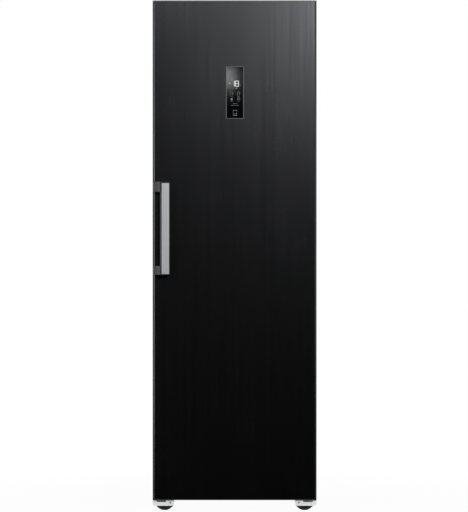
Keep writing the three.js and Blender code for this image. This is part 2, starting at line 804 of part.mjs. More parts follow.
function makeDrier() {
  const top = bayTop - drierDrop;
  const profile = [
    [0, top - drierLength],
    [pipeRadius, top - drierLength],
    [drierRadius, top - drierLength + drierCone],
    [drierRadius, top - drierCone],
    [pipeRadius, top],
    [pipeRadius, bayTop - seat],
    [0, bayTop - seat],
  ];
  return turned(profile, [drierX, backY - drierFromBack, 0]);
}

function makeCoil() {
  const y = backPanelY - sheet - seat - coilTubeRadius;
  const solids = [];
  for (let i = 0; i < coilPasses; i++) {
    const x = -coilHalfSpan + i * coilPitch;
    solids.push(cylinder("z", [x, y, 0], coilTubeRadius, [coilBottom, coilBottom + coilHeight], 6));
    if (i < coilPasses - 1) {
      const upper = i % 2 === 0;
      const bend = [];
      for (let step = 0; step <= coilBendSteps; step++) {
        const angle = Math.PI - (step * Math.PI) / coilBendSteps;
        const rise = (Math.sin(angle) * coilPitch) / 2;
        const z = upper ? coilBottom + coilHeight - over + rise : coilBottom + over - rise;
        bend.push([x + coilPitch / 2 + (Math.cos(angle) * coilPitch) / 2, y, z]);
      }
      solids.push(tube(bend, coilTubeRadius, coilBendSteps, 6));
    }
  }
  return joined(solids);
}

function makeBoardCover() {
  const [width, depth, height] = boardCoverSize;
  const shape = roundedRectangle(boardCoverX, boardCoverZ, width, height, boardCoverCorner);
  return facing(shape, [backPanelY, backPanelY + depth]);
}

function makeGland() {
  const middle = [glandX, 0, glandZ];
  const flange = cylinder("y", middle, glandFlangeRadius, [backPanelY, backPanelY + glandFlangeThickness]);
  const nose = [backPanelY, backPanelY + glandFlangeThickness + glandNoseLength];
  const bore = cylinder("y", middle, glandBoreRadius, [nose[0] + glandBoreFloor, nose[1] + over], 16);
  return flange.add(cylinder("y", middle, glandNoseRadius, nose)).subtract(bore);
}

piece("compressor", makeCompressor(), enamelBlack);
piece("compressor_terminal_cover", makeTerminalCover(), blackPlastic);
piece("evaporation_tray", makeTray(), greyPlastic);
piece("suction_pipe", makePipe(-1, suctionPipeAngle), copper);
piece("discharge_pipe", makePipe(1, dischargePipeAngle), copper);
piece("filter_drier", makeDrier(), copper);
piece("condenser_coil", makeCoil(), copper);
piece("main_board_cover", makeBoardCover(), greySteel);
piece("power_cord_gland", makeGland(), blackPlastic);

// ---- Top hinge ----
const door = new THREE.Group();
freezer.add(door);
const hinge = [hingeX, hingeY, 0];

function makeTopBracket() {
  const right = hingeX + hingeArmRadius;
  const front = cabinetFrontY + hingePlateSetback;
  const rear = front + hingePlateLength;
  const plate = block(
    [right - hingePlateWidth, right],
    [front, rear],
    [cabinetTop, cabinetTop + hingePlate],
  );
  const arm = block([hingeX - hingeArmRadius, right], [hingeY, rear], [cabinetTop, cabinetTop + hingePlate]);
  const end = cylinder("z", hinge, hingeArmRadius, [cabinetTop, cabinetTop + hingePlate]);
  const z = [cabinetTop - over, cabinetTop + hingePlate + over];
  const hole = cylinder("z", hinge, pinRadius + pinClearance, z, 16);
  return joined([plate, arm, end]).subtract(hole);
}

function makeTopPin() {
  const seatZ = cabinetTop + hingePlate;
  const head = cylinder("z", hinge, pinHeadRadius, [seatZ, seatZ + pinHeadHeight]);
  return head.add(cylinder("z", hinge, pinRadius, [cabinetTop - pinReach, seatZ + over], 16));
}

function makeHingeCover() {
  const right = hingeX + hingeArmRadius;
  const x = [right - hingePlateWidth - hingeCoverMargin, right + hingeCoverSideMargin];
  const front = cabinetFrontY + hingeCoverSetback;
  const y = [front, cabinetFrontY + hingePlateSetback + hingePlateLength + hingeCoverMargin];
  const outer = block(x, y, [cabinetTop, cabinetTop + hingeCoverHeight]);
  const inner = block(
    [x[0] + hingeCoverWall, x[1] - hingeCoverWall],
    [y[0] - over, y[1] - hingeCoverWall],
    [cabinetTop - over, cabinetTop + hingeCoverHeight - hingeCoverWall],
  );
  return outer.subtract(inner);
}

piece("hinge_bracket_top", makeTopBracket(), zincSteel);
piece("hinge_pin_top", makeTopPin(), zincSteel);
piece("hinge_cover_top", makeHingeCover(), blackPlastic);

// ---- Front brackets, the right one with the lower hinge pin ----
const bracketFrontY = doorFrontY + footBracketSetback;
const footY = doorFrontY + footSetback;

// A bracket for one side: its top plate runs under the cabinet and its lip faces the front.
function makeFrontBracket(side) {
  const outer = side * (halfWidth - footBracketInset);
  const inner = outer - side * footBracketWidth;
  const x = [Math.min(outer, inner), Math.max(outer, inner)];
  const plateBottom = standHeight - footBracketSheet;
  const plate = block(x, [bracketFrontY, cabinetFrontY + footBracketUnder], [plateBottom, standHeight]);
  const lipHeight = footBracketDrop + footBracketCorner;
  const lipShape = roundedRectangle((outer + inner) / 2, standHeight - footBracketDrop + lipHeight / 2,
    footBracketWidth, lipHeight, footBracketCorner);
  const front = facing(lipShape, [bracketFrontY, bracketFrontY + footBracketSheet]);
  const cut = block([-halfWidth, halfWidth], [bracketFrontY - over, cabinetFrontY], [standHeight, doorTop]);
  const cheekInner = inner + side * footBracketSheet;
  const cheek = block(
    [Math.min(inner, cheekInner), Math.max(inner, cheekInner)],
    [bracketFrontY, cabinetFrontY],
    [standHeight - footBracketDrop + footBracketCorner, standHeight],
  );
  const slotOuter = outer - side * bracketSlotInset;
  const slotInner = slotOuter - side * bracketSlotWidth;
  const slot = block(
    [Math.min(slotOuter, slotInner), Math.max(slotOuter, slotInner)],
    [bracketFrontY - over, bracketFrontY + bracketSlotDepth],
    [standHeight - bracketSlotHeight, standHeight + over],
  );
  const screwX = inner + side * bracketScrewInset;
  const screwHole = cylinder("y", [screwX, 0, standHeight - bracketScrewDrop], bracketScrewRadius,
    [bracketFrontY - over, bracketFrontY + footBracketSheet + over], 12);
  const stem = [side * (halfWidth - footInset), footY, 0];
  const plateZ = [plateBottom - over, standHeight + over];
  const stemHole = cylinder("z", stem, footStemRadius + footStemClearance, plateZ, 16);
  return joined([plate, front, cheek]).subtract(cut).subtract(slot).subtract(screwHole).subtract(stemHole);
}

function makeHingeBracket() {
  const plateBottom = standHeight - footBracketSheet;
  const hole = cylinder("z", hinge, pinRadius + pinClearance, [plateBottom - over, standHeight + over], 16);
  return makeFrontBracket(1).subtract(hole);
}

function makeBottomPin() {
  const plateBottom = standHeight - footBracketSheet;
  const head = cylinder("z", hinge, pinHeadRadius, [plateBottom - pinHeadHeight, plateBottom]);
  return head.add(cylinder("z", hinge, pinRadius, [plateBottom - over, doorBottom + pinReach], 16));
}

piece("foot_bracket_left", makeFrontBracket(-1), zincSteel);
piece("hinge_bracket_bottom", makeHingeBracket(), zincSteel);
piece("hinge_pin_bottom", makeBottomPin(), zincSteel);

// ---- Levelling feet and rear rollers ----
const footProfile = [
  [0, 0],
  [footSoleRadius, 0],
  [footRadius - footDome, footHeight - footRim - footDome],
  [footRadius, footHeight - footRim],
  [footRadius, footHeight],
  [footStemRadius, footHeight],
  [footStemRadius, standHeight - footStemGap],
  [0, standHeight - footStemGap],
];
for (const [side, word] of [[-1, "left"], [1, "right"]]) {
  const foot = piece(`levelling_foot_${word}`, turned(footProfile, [0, 0, 0]), footRubber);
  foot.position.set(side * (halfWidth - footInset), footY, 0);
}

// The bracket carries its axle; both are made round the middle of the roller.
function makeRollerBracket() {
  const earStart = rollerWidth / 2 + rollerSideGap;
  const earEnd = earStart + rollerEarThickness;
  const plateTop = standHeight - rollerRadius;
  const plate = block(
    [-earEnd, earEnd],
    [-rollerPlateLength / 2, rollerPlateLength / 2],
    [plateTop - rollerEarThickness, plateTop],
  );
  const ears = [-1, 1].map((side) =>
    block(
      [Math.min(side * earStart, side * earEnd), Math.max(side * earStart, side * earEnd)],
      [-rollerEarHalf, rollerEarHalf],
      [-axleRadius - rollerEarThickness, plateTop - over],
    ),
  );
  return joined([plate, ...ears, cylinder("x", [0, 0, 0], axleRadius, [-earEnd - over, earEnd + over], 12)]);
}

function makeRoller() {
  const wheel = cylinder("x", [0, 0, 0], rollerRadius, [-rollerWidth / 2, rollerWidth / 2]);
  const bore = cylinder("x", [0, 0, 0], axleRadius + axleClearance, [-rollerWidth, rollerWidth], 12);
  return wheel.subtract(bore);
}

for (const [side, word] of [[-1, "left"], [1, "right"]]) {
  const corner = new THREE.Group();
  corner.position.set(side * (halfWidth - rollerInset), backY - rollerFromBack, rollerRadius);
  freezer.add(corner);
  piece(`roller_bracket_${word}`, makeRollerBracket(), zincSteel, corner);
  piece(`rear_roller_${word}`, makeRoller(), blackPlastic, corner);
}

// ---- Door ----
// Outline of the door from above, with round front edges, inside the skin by a margin.
function doorOutline(margin, rearY) {
  const side = halfWidth - margin;
  const front = doorFrontY + margin;
  const radius = doorEdgeRadius - margin;
  const shape = new THREE.Shape();
  shape.moveTo(side, rearY);
  shape.lineTo(-side, rearY);
  shape.lineTo(-side, front + radius);
  shape.absarc(-side + radius, front + radius, radius, Math.PI, 1.5 * Math.PI, false);
  shape.lineTo(side - radius, front);
  shape.absarc(side - radius, front + radius, radius, 1.5 * Math.PI, 2 * Math.PI, false);
  return shape;
}

const skinZ = [doorBottom + capLip, doorTop - capLip];
const coreRearY = doorRearY - doorLinerThickness;

// Room in the door's upper corner for the arm of the top hinge.
function hingeRecess() {
  return block(
    [hingeX - hingeArmRadius - recessSide, halfWidth + over],
    [doorFrontY + recessFront, doorRearY + over],
    [cabinetTop - recessGap, doorTop + over],
  );
}

// Opening for the display, as wide as its body or wider by a margin.
function displayRoom(margin, [y0, y1]) {
  const halfX = displayWidth / 2 - displayFlange + margin;
  const halfZ = displayHeight / 2 - displayFlange + margin;
  return block(
    [displayMiddleX - halfX, displayMiddleX + halfX],
    [y0, y1],
    [displayMiddleZ - halfZ, displayMiddleZ + halfZ],
  );
}

function makeSkin() {
  const sheetMetal = upright(doorOutline(0, doorRearY), skinZ);
  const hollow = upright(doorOutline(sheet, doorRearY + over), [skinZ[0] - over, skinZ[1] + over]);
  const window = displayRoom(displayClearance, [doorFrontY - over, doorFrontY + sheet + over]);
  return sheetMetal.subtract(hollow).subtract(window).subtract(hingeRecess());
}

function makeDoorFoam() {
  const z = [skinZ[0] + capPlug, skinZ[1] - capPlug];
  const room = displayRoom(displayClearance, [doorFrontY, doorFrontY + displayDepth + displayClearance]);
  return upright(doorOutline(sheet, coreRearY), z).subtract(room);
}

function makeDoorLiner() {
  const plate = block([-panelHalf, panelHalf], [coreRearY, doorRearY], skinZ);
  return plate.subtract(hingeRecess());
}

function makeTopCap() {
  const lip = upright(doorOutline(0, doorRearY), [doorTop - capLip, doorTop]);
  const plug = upright(doorOutline(sheet, coreRearY), [doorTop - capLip - capPlug, doorTop - capLip]);
  const holeTop = cabinetTop - recessGap;
  const hole = cylinder("z", hinge, bushRadius + pinClearance, [holeTop - bushLength, holeTop + over]);
  return lip.add(plug).subtract(hingeRecess()).subtract(hole);
}

function makeBottomCap() {
  const lip = upright(doorOutline(0, doorRearY), [doorBottom, doorBottom + capLip]);
  const plug = upright(doorOutline(sheet, coreRearY), [doorBottom + capLip, doorBottom + capLip + capPlug]);
  const hole = cylinder("z", hinge, bushRadius + pinClearance, [doorBottom - over, doorBottom + bushLength]);
  return lip.add(plug).subtract(hole);
}

function makeTopBush() {
  const z = [cabinetTop - recessGap - bushLength, cabinetTop - recessGap];
  const body = cylinder("z", hinge, bushRadius, z);
  const bore = cylinder("z", hinge, pinRadius + pinClearance, [z[0] - over, z[1] + over], 16);
  return body.subtract(bore);
}

function makeBottomBush() {
  const z = [doorBottom - bushFlange, doorBottom + bushLength];
  const body = cylinder("z", hinge, bushRadius, z);
  const flange = cylinder("z", hinge, bushFlangeRadius, [doorBottom - bushFlange, doorBottom]);
  const bore = cylinder("z", hinge, pinRadius + pinClearance, [z[0] - over, z[1] + over], 16);
  return body.add(flange).subtract(bore);
}

function makeSeal() {
  const half = halfWidth - sealInset;
  const low = standHeight + sealInset;
  const high = cabinetTop - sealInset;
  const y = [doorRearY, cabinetFrontY - sealGap];
  const ring = block([-half, half], y, [low, high]);
  const hole = block(
    [-half + sealWidth, half - sealWidth],
    [y[0] - over, y[1] + over],
    [low + sealWidth, high - sealWidth],
  );
  return ring.subtract(hole);
}

piece("door_skin", makeSkin(), blackSteel, door);
piece("door_foam", makeDoorFoam(), whiteFoam, door);
piece("door_liner", makeDoorLiner(), whitePlastic, door);
piece("door_top_cap", makeTopCap(), blackPlastic, door);
piece("door_bottom_cap", makeBottomCap(), blackPlastic, door);
piece("hinge_bush_top", makeTopBush(), greyPlastic, door);
piece("hinge_bush_bottom", makeBottomBush(), greyPlastic, door);
piece("door_gasket", makeSeal(), sealRubber, door);

// ---- Handle ----
// The end blocks ramp out from the door's edge to the bar, which stands clear of the door between them.
const handleZ = [handleMiddle - handleHeight / 2, handleMiddle + handleHeight / 2];
const plateX = [-halfWidth + handlePlateInset, -halfWidth + handlePlateInset + handlePlateWidth];
const plateRearY = handleFrontY + handlePlateThickness;

function makeHandleBody() {
  const barRearY = plateRearY + handleBarDepth;
  const innerX = plateX[1] - handlePlateLap;
  const bar = outline([
    [plateX[0] - handleBevel, barRearY],
    [plateX[0] - handleBevel, plateRearY + handleBevel],
    [plateX[0], plateRearY],
    [innerX, plateRearY],
    [innerX, barRearY],
  ]);
  const ramp = new THREE.Shape();
  ramp.moveTo(-halfWidth + seat, doorFrontY + doorEdgeRadius);
  ramp.lineTo(-halfWidth + seat, doorFrontY - handleRampStart + doorEdgeRadius);
  ramp.quadraticCurveTo(
    -halfWidth + handleRampCurve,
    plateRearY + handleBevel + handleRampCurve,
    plateX[0] - handleBevel,
    plateRearY + handleBevel,
  );
  ramp.lineTo(plateX[0], plateRearY);
  ramp.lineTo(innerX, plateRearY);
  ramp.lineTo(innerX, doorFrontY + doorEdgeRadius);
  const doorRoom = upright(doorOutline(-seat, doorRearY), [doorBottom, doorTop]);
  const low = upright(ramp, [handleZ[0], handleZ[0] + handleEndBlock]).subtract(doorRoom);
  const high = upright(ramp, [handleZ[1] - handleEndBlock, handleZ[1]]).subtract(doorRoom);
  return joined([upright(bar, handleZ), low, high]);
}

function makeHandlePlate() {
  const edge = handlePlateChamfer;
  const shape = outline([
    [plateX[0], plateRearY],
    [plateX[0], handleFrontY + edge],
    [plateX[0] + edge, handleFrontY],
    [plateX[1] - edge, handleFrontY],
    [plateX[1], handleFrontY + edge],
    [plateX[1], plateRearY],
  ]);
  return upright(shape, handleZ);
}

piece("handle_body", makeHandleBody(), greyPlastic, door);
piece("handle_front_plate", makeHandlePlate(), satinAluminium, door);

// ---- Display ----
function makeBezel() {
  const middle = [displayMiddleX, displayMiddleZ];
  const flangeShape = roundedRectangle(...middle, displayWidth, displayHeight, displayCorner);
  const flange = facing(flangeShape, [doorFrontY - displayStandOut, doorFrontY]);
  const body = displayRoom(0, [doorFrontY - displayStandOut, doorFrontY + displayDepth]);
  const halfX = displayWidth / 2 - displayFrame;
  const halfZ = displayHeight / 2 - displayFrame;
  const pocket = block(
    [displayMiddleX - halfX, displayMiddleX + halfX],
    [doorFrontY - displayStandOut - over, doorFrontY + displayDepth - displayFloor],
    [displayMiddleZ - halfZ, displayMiddleZ + halfZ],
  );
  return flange.add(body).subtract(pocket);
}

function makeDisplayGlass() {
  const halfX = displayWidth / 2 - displayFrame;
  const halfZ = displayHeight / 2 - displayFrame;
  const front = doorFrontY - displayStandOut + displayClearance;
  return block(
    [displayMiddleX - halfX, displayMiddleX + halfX],
    [front, front + displayGlassThickness],
    [displayMiddleZ - halfZ, displayMiddleZ + halfZ],
  );
}

piece("display_bezel", makeBezel(), greyPlastic, door);
piece("display_glass", makeDisplayGlass(), blackGlass, door);

export default freezer;
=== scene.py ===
"""Looks of an upright freezer with a brushed black door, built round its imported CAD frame."""

import json
import math

import bmesh
import bpy
from bpy.props import FloatProperty, FloatVectorProperty, IntProperty, PointerProperty
from bpy.types import Operator, Panel, PropertyGroup
from mathutils import Matrix, Vector


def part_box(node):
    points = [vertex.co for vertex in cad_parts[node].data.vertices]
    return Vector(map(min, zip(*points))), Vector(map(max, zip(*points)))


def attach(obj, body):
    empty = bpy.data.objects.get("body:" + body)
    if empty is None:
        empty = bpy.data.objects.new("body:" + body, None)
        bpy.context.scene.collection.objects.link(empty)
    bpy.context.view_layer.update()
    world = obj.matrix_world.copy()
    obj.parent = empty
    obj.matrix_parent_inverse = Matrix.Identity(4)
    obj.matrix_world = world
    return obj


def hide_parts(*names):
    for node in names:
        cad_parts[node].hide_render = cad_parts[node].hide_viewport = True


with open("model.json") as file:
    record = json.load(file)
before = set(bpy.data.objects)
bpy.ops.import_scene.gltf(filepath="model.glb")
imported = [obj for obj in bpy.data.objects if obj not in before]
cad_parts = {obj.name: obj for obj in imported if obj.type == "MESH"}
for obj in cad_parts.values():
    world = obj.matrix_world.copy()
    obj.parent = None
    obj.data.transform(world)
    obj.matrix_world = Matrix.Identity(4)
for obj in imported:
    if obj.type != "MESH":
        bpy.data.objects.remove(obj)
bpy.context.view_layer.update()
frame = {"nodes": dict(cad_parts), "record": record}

bl_info = {
    "name": "Upright freezer",
    "version": (1, 0, 0),
    "blender": (4, 5, 0),
    "location": "3D View > Sidebar > Freezer",
    "description": "Builds the looks of an upright freezer round its CAD frame",
    "category": "Object",
}

X, Y, Z = 0, 1, 2
RECORD = frame["record"]
SLOT_OF_NODE = {row["node"]: row["material_slot"] for row in RECORD["subparts"]}
BODY_OF_NODE = {node: body for body, nodes in RECORD["behaviour"]["bodies"].items() for node in nodes}
SHELF_LEVELS = [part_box(f"glass_shelf_{i}")[0].z for i in range(1, 7)]
SIDES = (("left", -1), ("right", 1))


# ---- Shaping ----


def middle_of(node):
    """The middle of a CAD node's box."""
    low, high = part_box(node)
    return (low + high) / 2


def turn_at(place, angle, axis):
    """A turn about an axis, then a move to a place."""
    return Matrix.Translation(place) @ Matrix.Rotation(angle, 4, axis)


def placed(bm, matrix):
    """A mesh moved by a matrix."""
    bmesh.ops.transform(bm, matrix=matrix, verts=bm.verts)
    return bm


def healed(bm, gap=1e-6):
    """A mesh with its doubles merged and its faces turned outwards."""
    bmesh.ops.remove_doubles(bm, verts=bm.verts, dist=gap)
    bmesh.ops.recalc_face_normals(bm, faces=bm.faces)
    return bm


def flattened(bm, degrees):
    """A mesh whose neighbouring faces are joined where they turn by less than an angle."""
    bmesh.ops.dissolve_limit(
        bm, angle_limit=math.radians(degrees), use_dissolve_boundaries=False, verts=bm.verts, edges=bm.edges
    )
    return bm


def vertices_in(geometry):
    """The vertices among some mesh parts."""
    return [part for part in geometry if isinstance(part, bmesh.types.BMVert)]


def block(low, high):
    """A box between two corners."""
    low, high = Vector(low), Vector(high)
    bm = bmesh.new()
    place = Matrix.Translation((low + high) / 2) @ Matrix.Diagonal((*(high - low), 1))
    bmesh.ops.create_cube(bm, size=1, matrix=place)
    return bm


def side_block(side, inner, outer, low, high):
    """A box on the left (-1) or right (1), from two distances to the middle and (y, z) of two corners."""
    near, far = sorted((side * inner, side * outer))
    return block((near, *low), (far, *high))


def edges_at(bm, keep):
    """The edges whose middle passes a test."""
    return [e for e in bm.edges if keep((e.verts[0].co + e.verts[1].co) / 2)]


def edges_along(bm, axis, keep=lambda middle: True):
    """The edges that run along an axis and whose middle passes a test."""
    found = []
    for edge in edges_at(bm, keep):
        run = edge.verts[1].co - edge.verts[0].co
        if run.length > 1e-7 and abs(run[axis]) > 0.999 * run.length:
            found.append(edge)
    return found


def round_edges(bm, edges, radius, segments=4):
    """Rounds some edges of a mesh."""
    bmesh.ops.bevel(
        bm, geom=edges, offset=radius, offset_type="OFFSET", segments=segments, profile=0.5, affect="EDGES",
        clamp_overlap=True, material=-1,
    )
    return bm


def soften(bm, radius, segments=2, angle=35):
    """Rounds every edge that turns by more than an angle in degrees."""
    limit = math.radians(angle)
    sharp = [e for e in bm.edges if len(e.link_faces) == 2 and e.calc_face_angle(0) > limit]
    return round_edges(bm, sharp, radius, segments)


def plate(low, high, axis, corner, edge=0.0, segments=6):
    """A box with round corners seen along an axis, and a small round on its other edges."""
    bm = block(low, high)
    round_edges(bm, edges_along(bm, axis), corner, segments)
    return soften(bm, edge) if edge else bm


def outline(points, axis, low, high):
    """An outline, in the two other axes, extruded along an axis."""
    bm = bmesh.new()
    corners = []
    for point in points:
        place = list(point)
        place.insert(axis, low)
        corners.append(bm.verts.new(place))
    step = Vector()
    step[axis] = high - low
    made = bmesh.ops.extrude_face_region(bm, geom=[bm.faces.new(corners)])["geom"]
    bmesh.ops.translate(bm, verts=vertices_in(made), vec=step)
    return healed(bm)


def folded(points, low, high, thickness, radius):
    """A sheet folded along an upright outline in X and Y, with its wall inside the outline."""
    bm = bmesh.new()
    line = [bm.verts.new((x, y, low)) for x, y in points]
    edges = [bm.edges.new(pair) for pair in zip(line, line[1:])]
    made = bmesh.ops.extrude_edge_only(bm, edges=edges)["geom"]
    bmesh.ops.translate(bm, verts=vertices_in(made), vec=(0, 0, high - low))
    round_edges(bm, [e for e in edges_along(bm, Z) if len(e.link_faces) == 2], radius, 5)
    bmesh.ops.recalc_face_normals(bm, faces=bm.faces)
    middle = Vector((sum(p[0] for p in points), sum(p[1] for p in points), 0)) / len(points)
    face = max(bm.faces, key=lambda f: f.calc_area())
    outward = (face.calc_center_median() - middle).dot(face.normal) > 0
    bmesh.ops.solidify(bm, geom=bm.faces, thickness=thickness if outward else -thickness)
    bmesh.ops.recalc_face_normals(bm, faces=bm.faces)
    return bm


def turn_to(axis):
    """The turn that takes the upward axis to another one."""
    if axis == Z:
        return Matrix.Identity(4)
    return Matrix.Rotation(math.pi / 2, 4, "Y") if axis == X else Matrix.Rotation(-math.pi / 2, 4, "X")


def turned(profile, middle=(0, 0, 0), axis=Z, steps=48):
    """A profile of (radius, height) spun round an axis through a point."""
    bm = bmesh.new()
    line = [bm.verts.new((radius, 0, height)) for radius, height in profile]
    geometry = [*line, *(bm.edges.new(pair) for pair in zip(line, line[1:]))]
    bmesh.ops.spin(
        bm, geom=geometry, axis=(0, 0, 1), cent=(0, 0, 0), angle=2 * math.pi, steps=steps, use_merge=True
    )
    return placed(healed(bm), Matrix.Translation(middle) @ turn_to(axis))


def rod(middle, radius, low, high, axis=Z, steps=24, edge=0.0):
    """A cylinder along an axis, with round rims if an edge radius is given."""
    ends = [(0, low), (radius, low), (radius, high), (0, high)]
    if edge:
        ends[1:3] = [(radius - edge, low), (radius, low + edge), (radius, high - edge), (radius - edge, high)]
    return turned(ends, middle, axis, steps)


def ring_frame(low, high, section):
    """A rectangular ring seen from the front: its section is a closed list of (inset from the edge, y)."""
    bm = bmesh.new()
    middle = (low + high) / 2

    def to_ring(corners, inset, depth):
        for corner in corners:
            x = high.x - inset if corner.co.x > middle.x else low.x + inset
            z = high.z - inset if corner.co.z > middle.z else low.z + inset
            corner.co = (x, depth, z)

    rectangle = ((low.x, low.z), (high.x, low.z), (high.x, high.z), (low.x, high.z))
    corners = [bm.verts.new((x, 0, z)) for x, z in rectangle]
    edges = [bm.edges.new((corners[i - 1], corners[i])) for i in range(4)]
    to_ring(corners, *section[0])
    for step in (*section[1:], section[0]):
        made = bmesh.ops.extrude_edge_only(bm, edges=edges)["geom"]
        corners = vertices_in(made)
        edges = [part for part in made if isinstance(part, bmesh.types.BMEdge)]
        edges = [edge for edge in edges if set(edge.verts) <= set(corners)]
        to_ring(corners, *step)
    return healed(bm, 1e-7)


def tube(points, radius, sides=12):
    """A round tube along a smooth line through some points, with closed ends."""
    line = bpy.data.curves.new("tube line", "CURVE")
    line.dimensions = "3D"
    line.bevel_depth = radius
    line.bevel_resolution = sides // 4
    line.resolution_u = 8
    line.use_fill_caps = True
    spline = line.splines.new("BEZIER")
    spline.bezier_points.add(len(points) - 1)
    for knot, place in zip(spline.bezier_points, points):
        knot.co = place
        knot.handle_left_type = knot.handle_right_type = "AUTO"
    holder = bpy.data.objects.new("tube line", line)
    mesh = bpy.data.meshes.new_from_object(holder)
    bm = bmesh.new()
    bm.from_mesh(mesh)
    bpy.data.objects.remove(holder)
    bpy.data.curves.remove(line)
    bpy.data.meshes.remove(mesh)
    return healed(bm)


def in_scene(bm, name):
    """Puts a mesh in the scene as an object and frees it."""
    mesh = bpy.data.meshes.new(name)
    bm.to_mesh(mesh)
    bm.free()
    made = bpy.data.objects.new(name, mesh)
    bpy.context.scene.collection.objects.link(made)
    return made


def merged(*parts):
    """Several meshes as one."""
    whole = bmesh.new()
    for part in parts:
        mesh = bpy.data.meshes.new("part")
        part.to_mesh(mesh)
        part.free()
        whole.from_mesh(mesh)
        bpy.data.meshes.remove(mesh)
    return whole


def repeated(make, places):
    """The same shape at several places, as one mesh."""
    return merged(*(placed(make(), Matrix.Translation(place)) for place in places))


def combine(solid, tools, operation):
    """Joins closed solids to another, or cuts them out of it, by exact booleans."""
    target = in_scene(solid, "solid")
    helpers = [in_scene(tool, "tool") for tool in tools]
    for helper in helpers:
        step = target.modifiers.new("combine", "BOOLEAN")
        step.operation, step.solver, step.object = operation, "EXACT", helper
    bpy.context.view_layer.update()
    depsgraph = bpy.context.evaluated_depsgraph_get()
    mesh = bpy.data.meshes.new_from_object(target.evaluated_get(depsgraph))
    made = bmesh.new()
    made.from_mesh(mesh)
    bpy.data.meshes.remove(mesh)
    for used in (target, *helpers):
        leftover = used.data
        bpy.data.objects.remove(used)
        bpy.data.meshes.remove(leftover)
    return flattened(made, 0.2)


def carved(solid, *tools):
    """A solid with others cut out of it."""
    return combine(solid, tools, "DIFFERENCE")


def screw_head(radius, facing=-1):
    """A pan head with a cross recess at the origin, facing along Y, forwards (-1) or backwards (1)."""
    height = radius * 0.55
    dome = [(0, -0.0004), (radius, -0.0004), (radius, height * 0.35), (radius * 0.86, height * 0.75)]
    dome += [(radius * 0.5, height * 0.97), (0, height)]
    arm, depth = radius * 0.62, height * 0.5
    cuts = [block((-x, -y, depth), (x, y, height * 2)) for x, y in ((arm, arm / 5), (arm / 5, arm))]
    turn = turn_to(Y) if facing > 0 else Matrix.Rotation(math.pi, 4, "Z") @ turn_to(Y)
    return placed(carved(turned(dome, steps=20), *cuts), turn)


def piece(name, bm, finish, node=None, body=None, smooth=35):
    """Makes a mesh a piece that stands for a CAD node, or else rides on a body, by default the cabinet."""
    made = in_scene(healed(bm), name)
    made.data.polygons.foreach_set("use_smooth", [True] * len(made.data.polygons))
    made.data.set_sharp_from_angle(angle=math.radians(smooth))
    shading = made.modifiers.new("even shading", "WEIGHTED_NORMAL")
    shading.keep_sharp = True
    made.data.materials.append(finishes()[finish])
    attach(made, body or BODY_OF_NODE.get(node, "cabinet"))
    if node:
        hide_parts(node)
    return made


def copy_of(node, radius, segments=2):
    """A merged copy of a CAD node's mesh with its sharp edges rounded."""
    bm = bmesh.new()
    bm.from_mesh(frame["nodes"][node].data)
    bmesh.ops.remove_doubles(bm, verts=bm.verts, dist=1e-5)
    return soften(flattened(bm, 1), radius, segments)


def dress(node, name, finish, radius, segments=2):
    """Replaces a CAD node by such a copy."""
    return piece(name, copy_of(node, radius, segments), finish, node)


# ---- Patterns and finishes ----


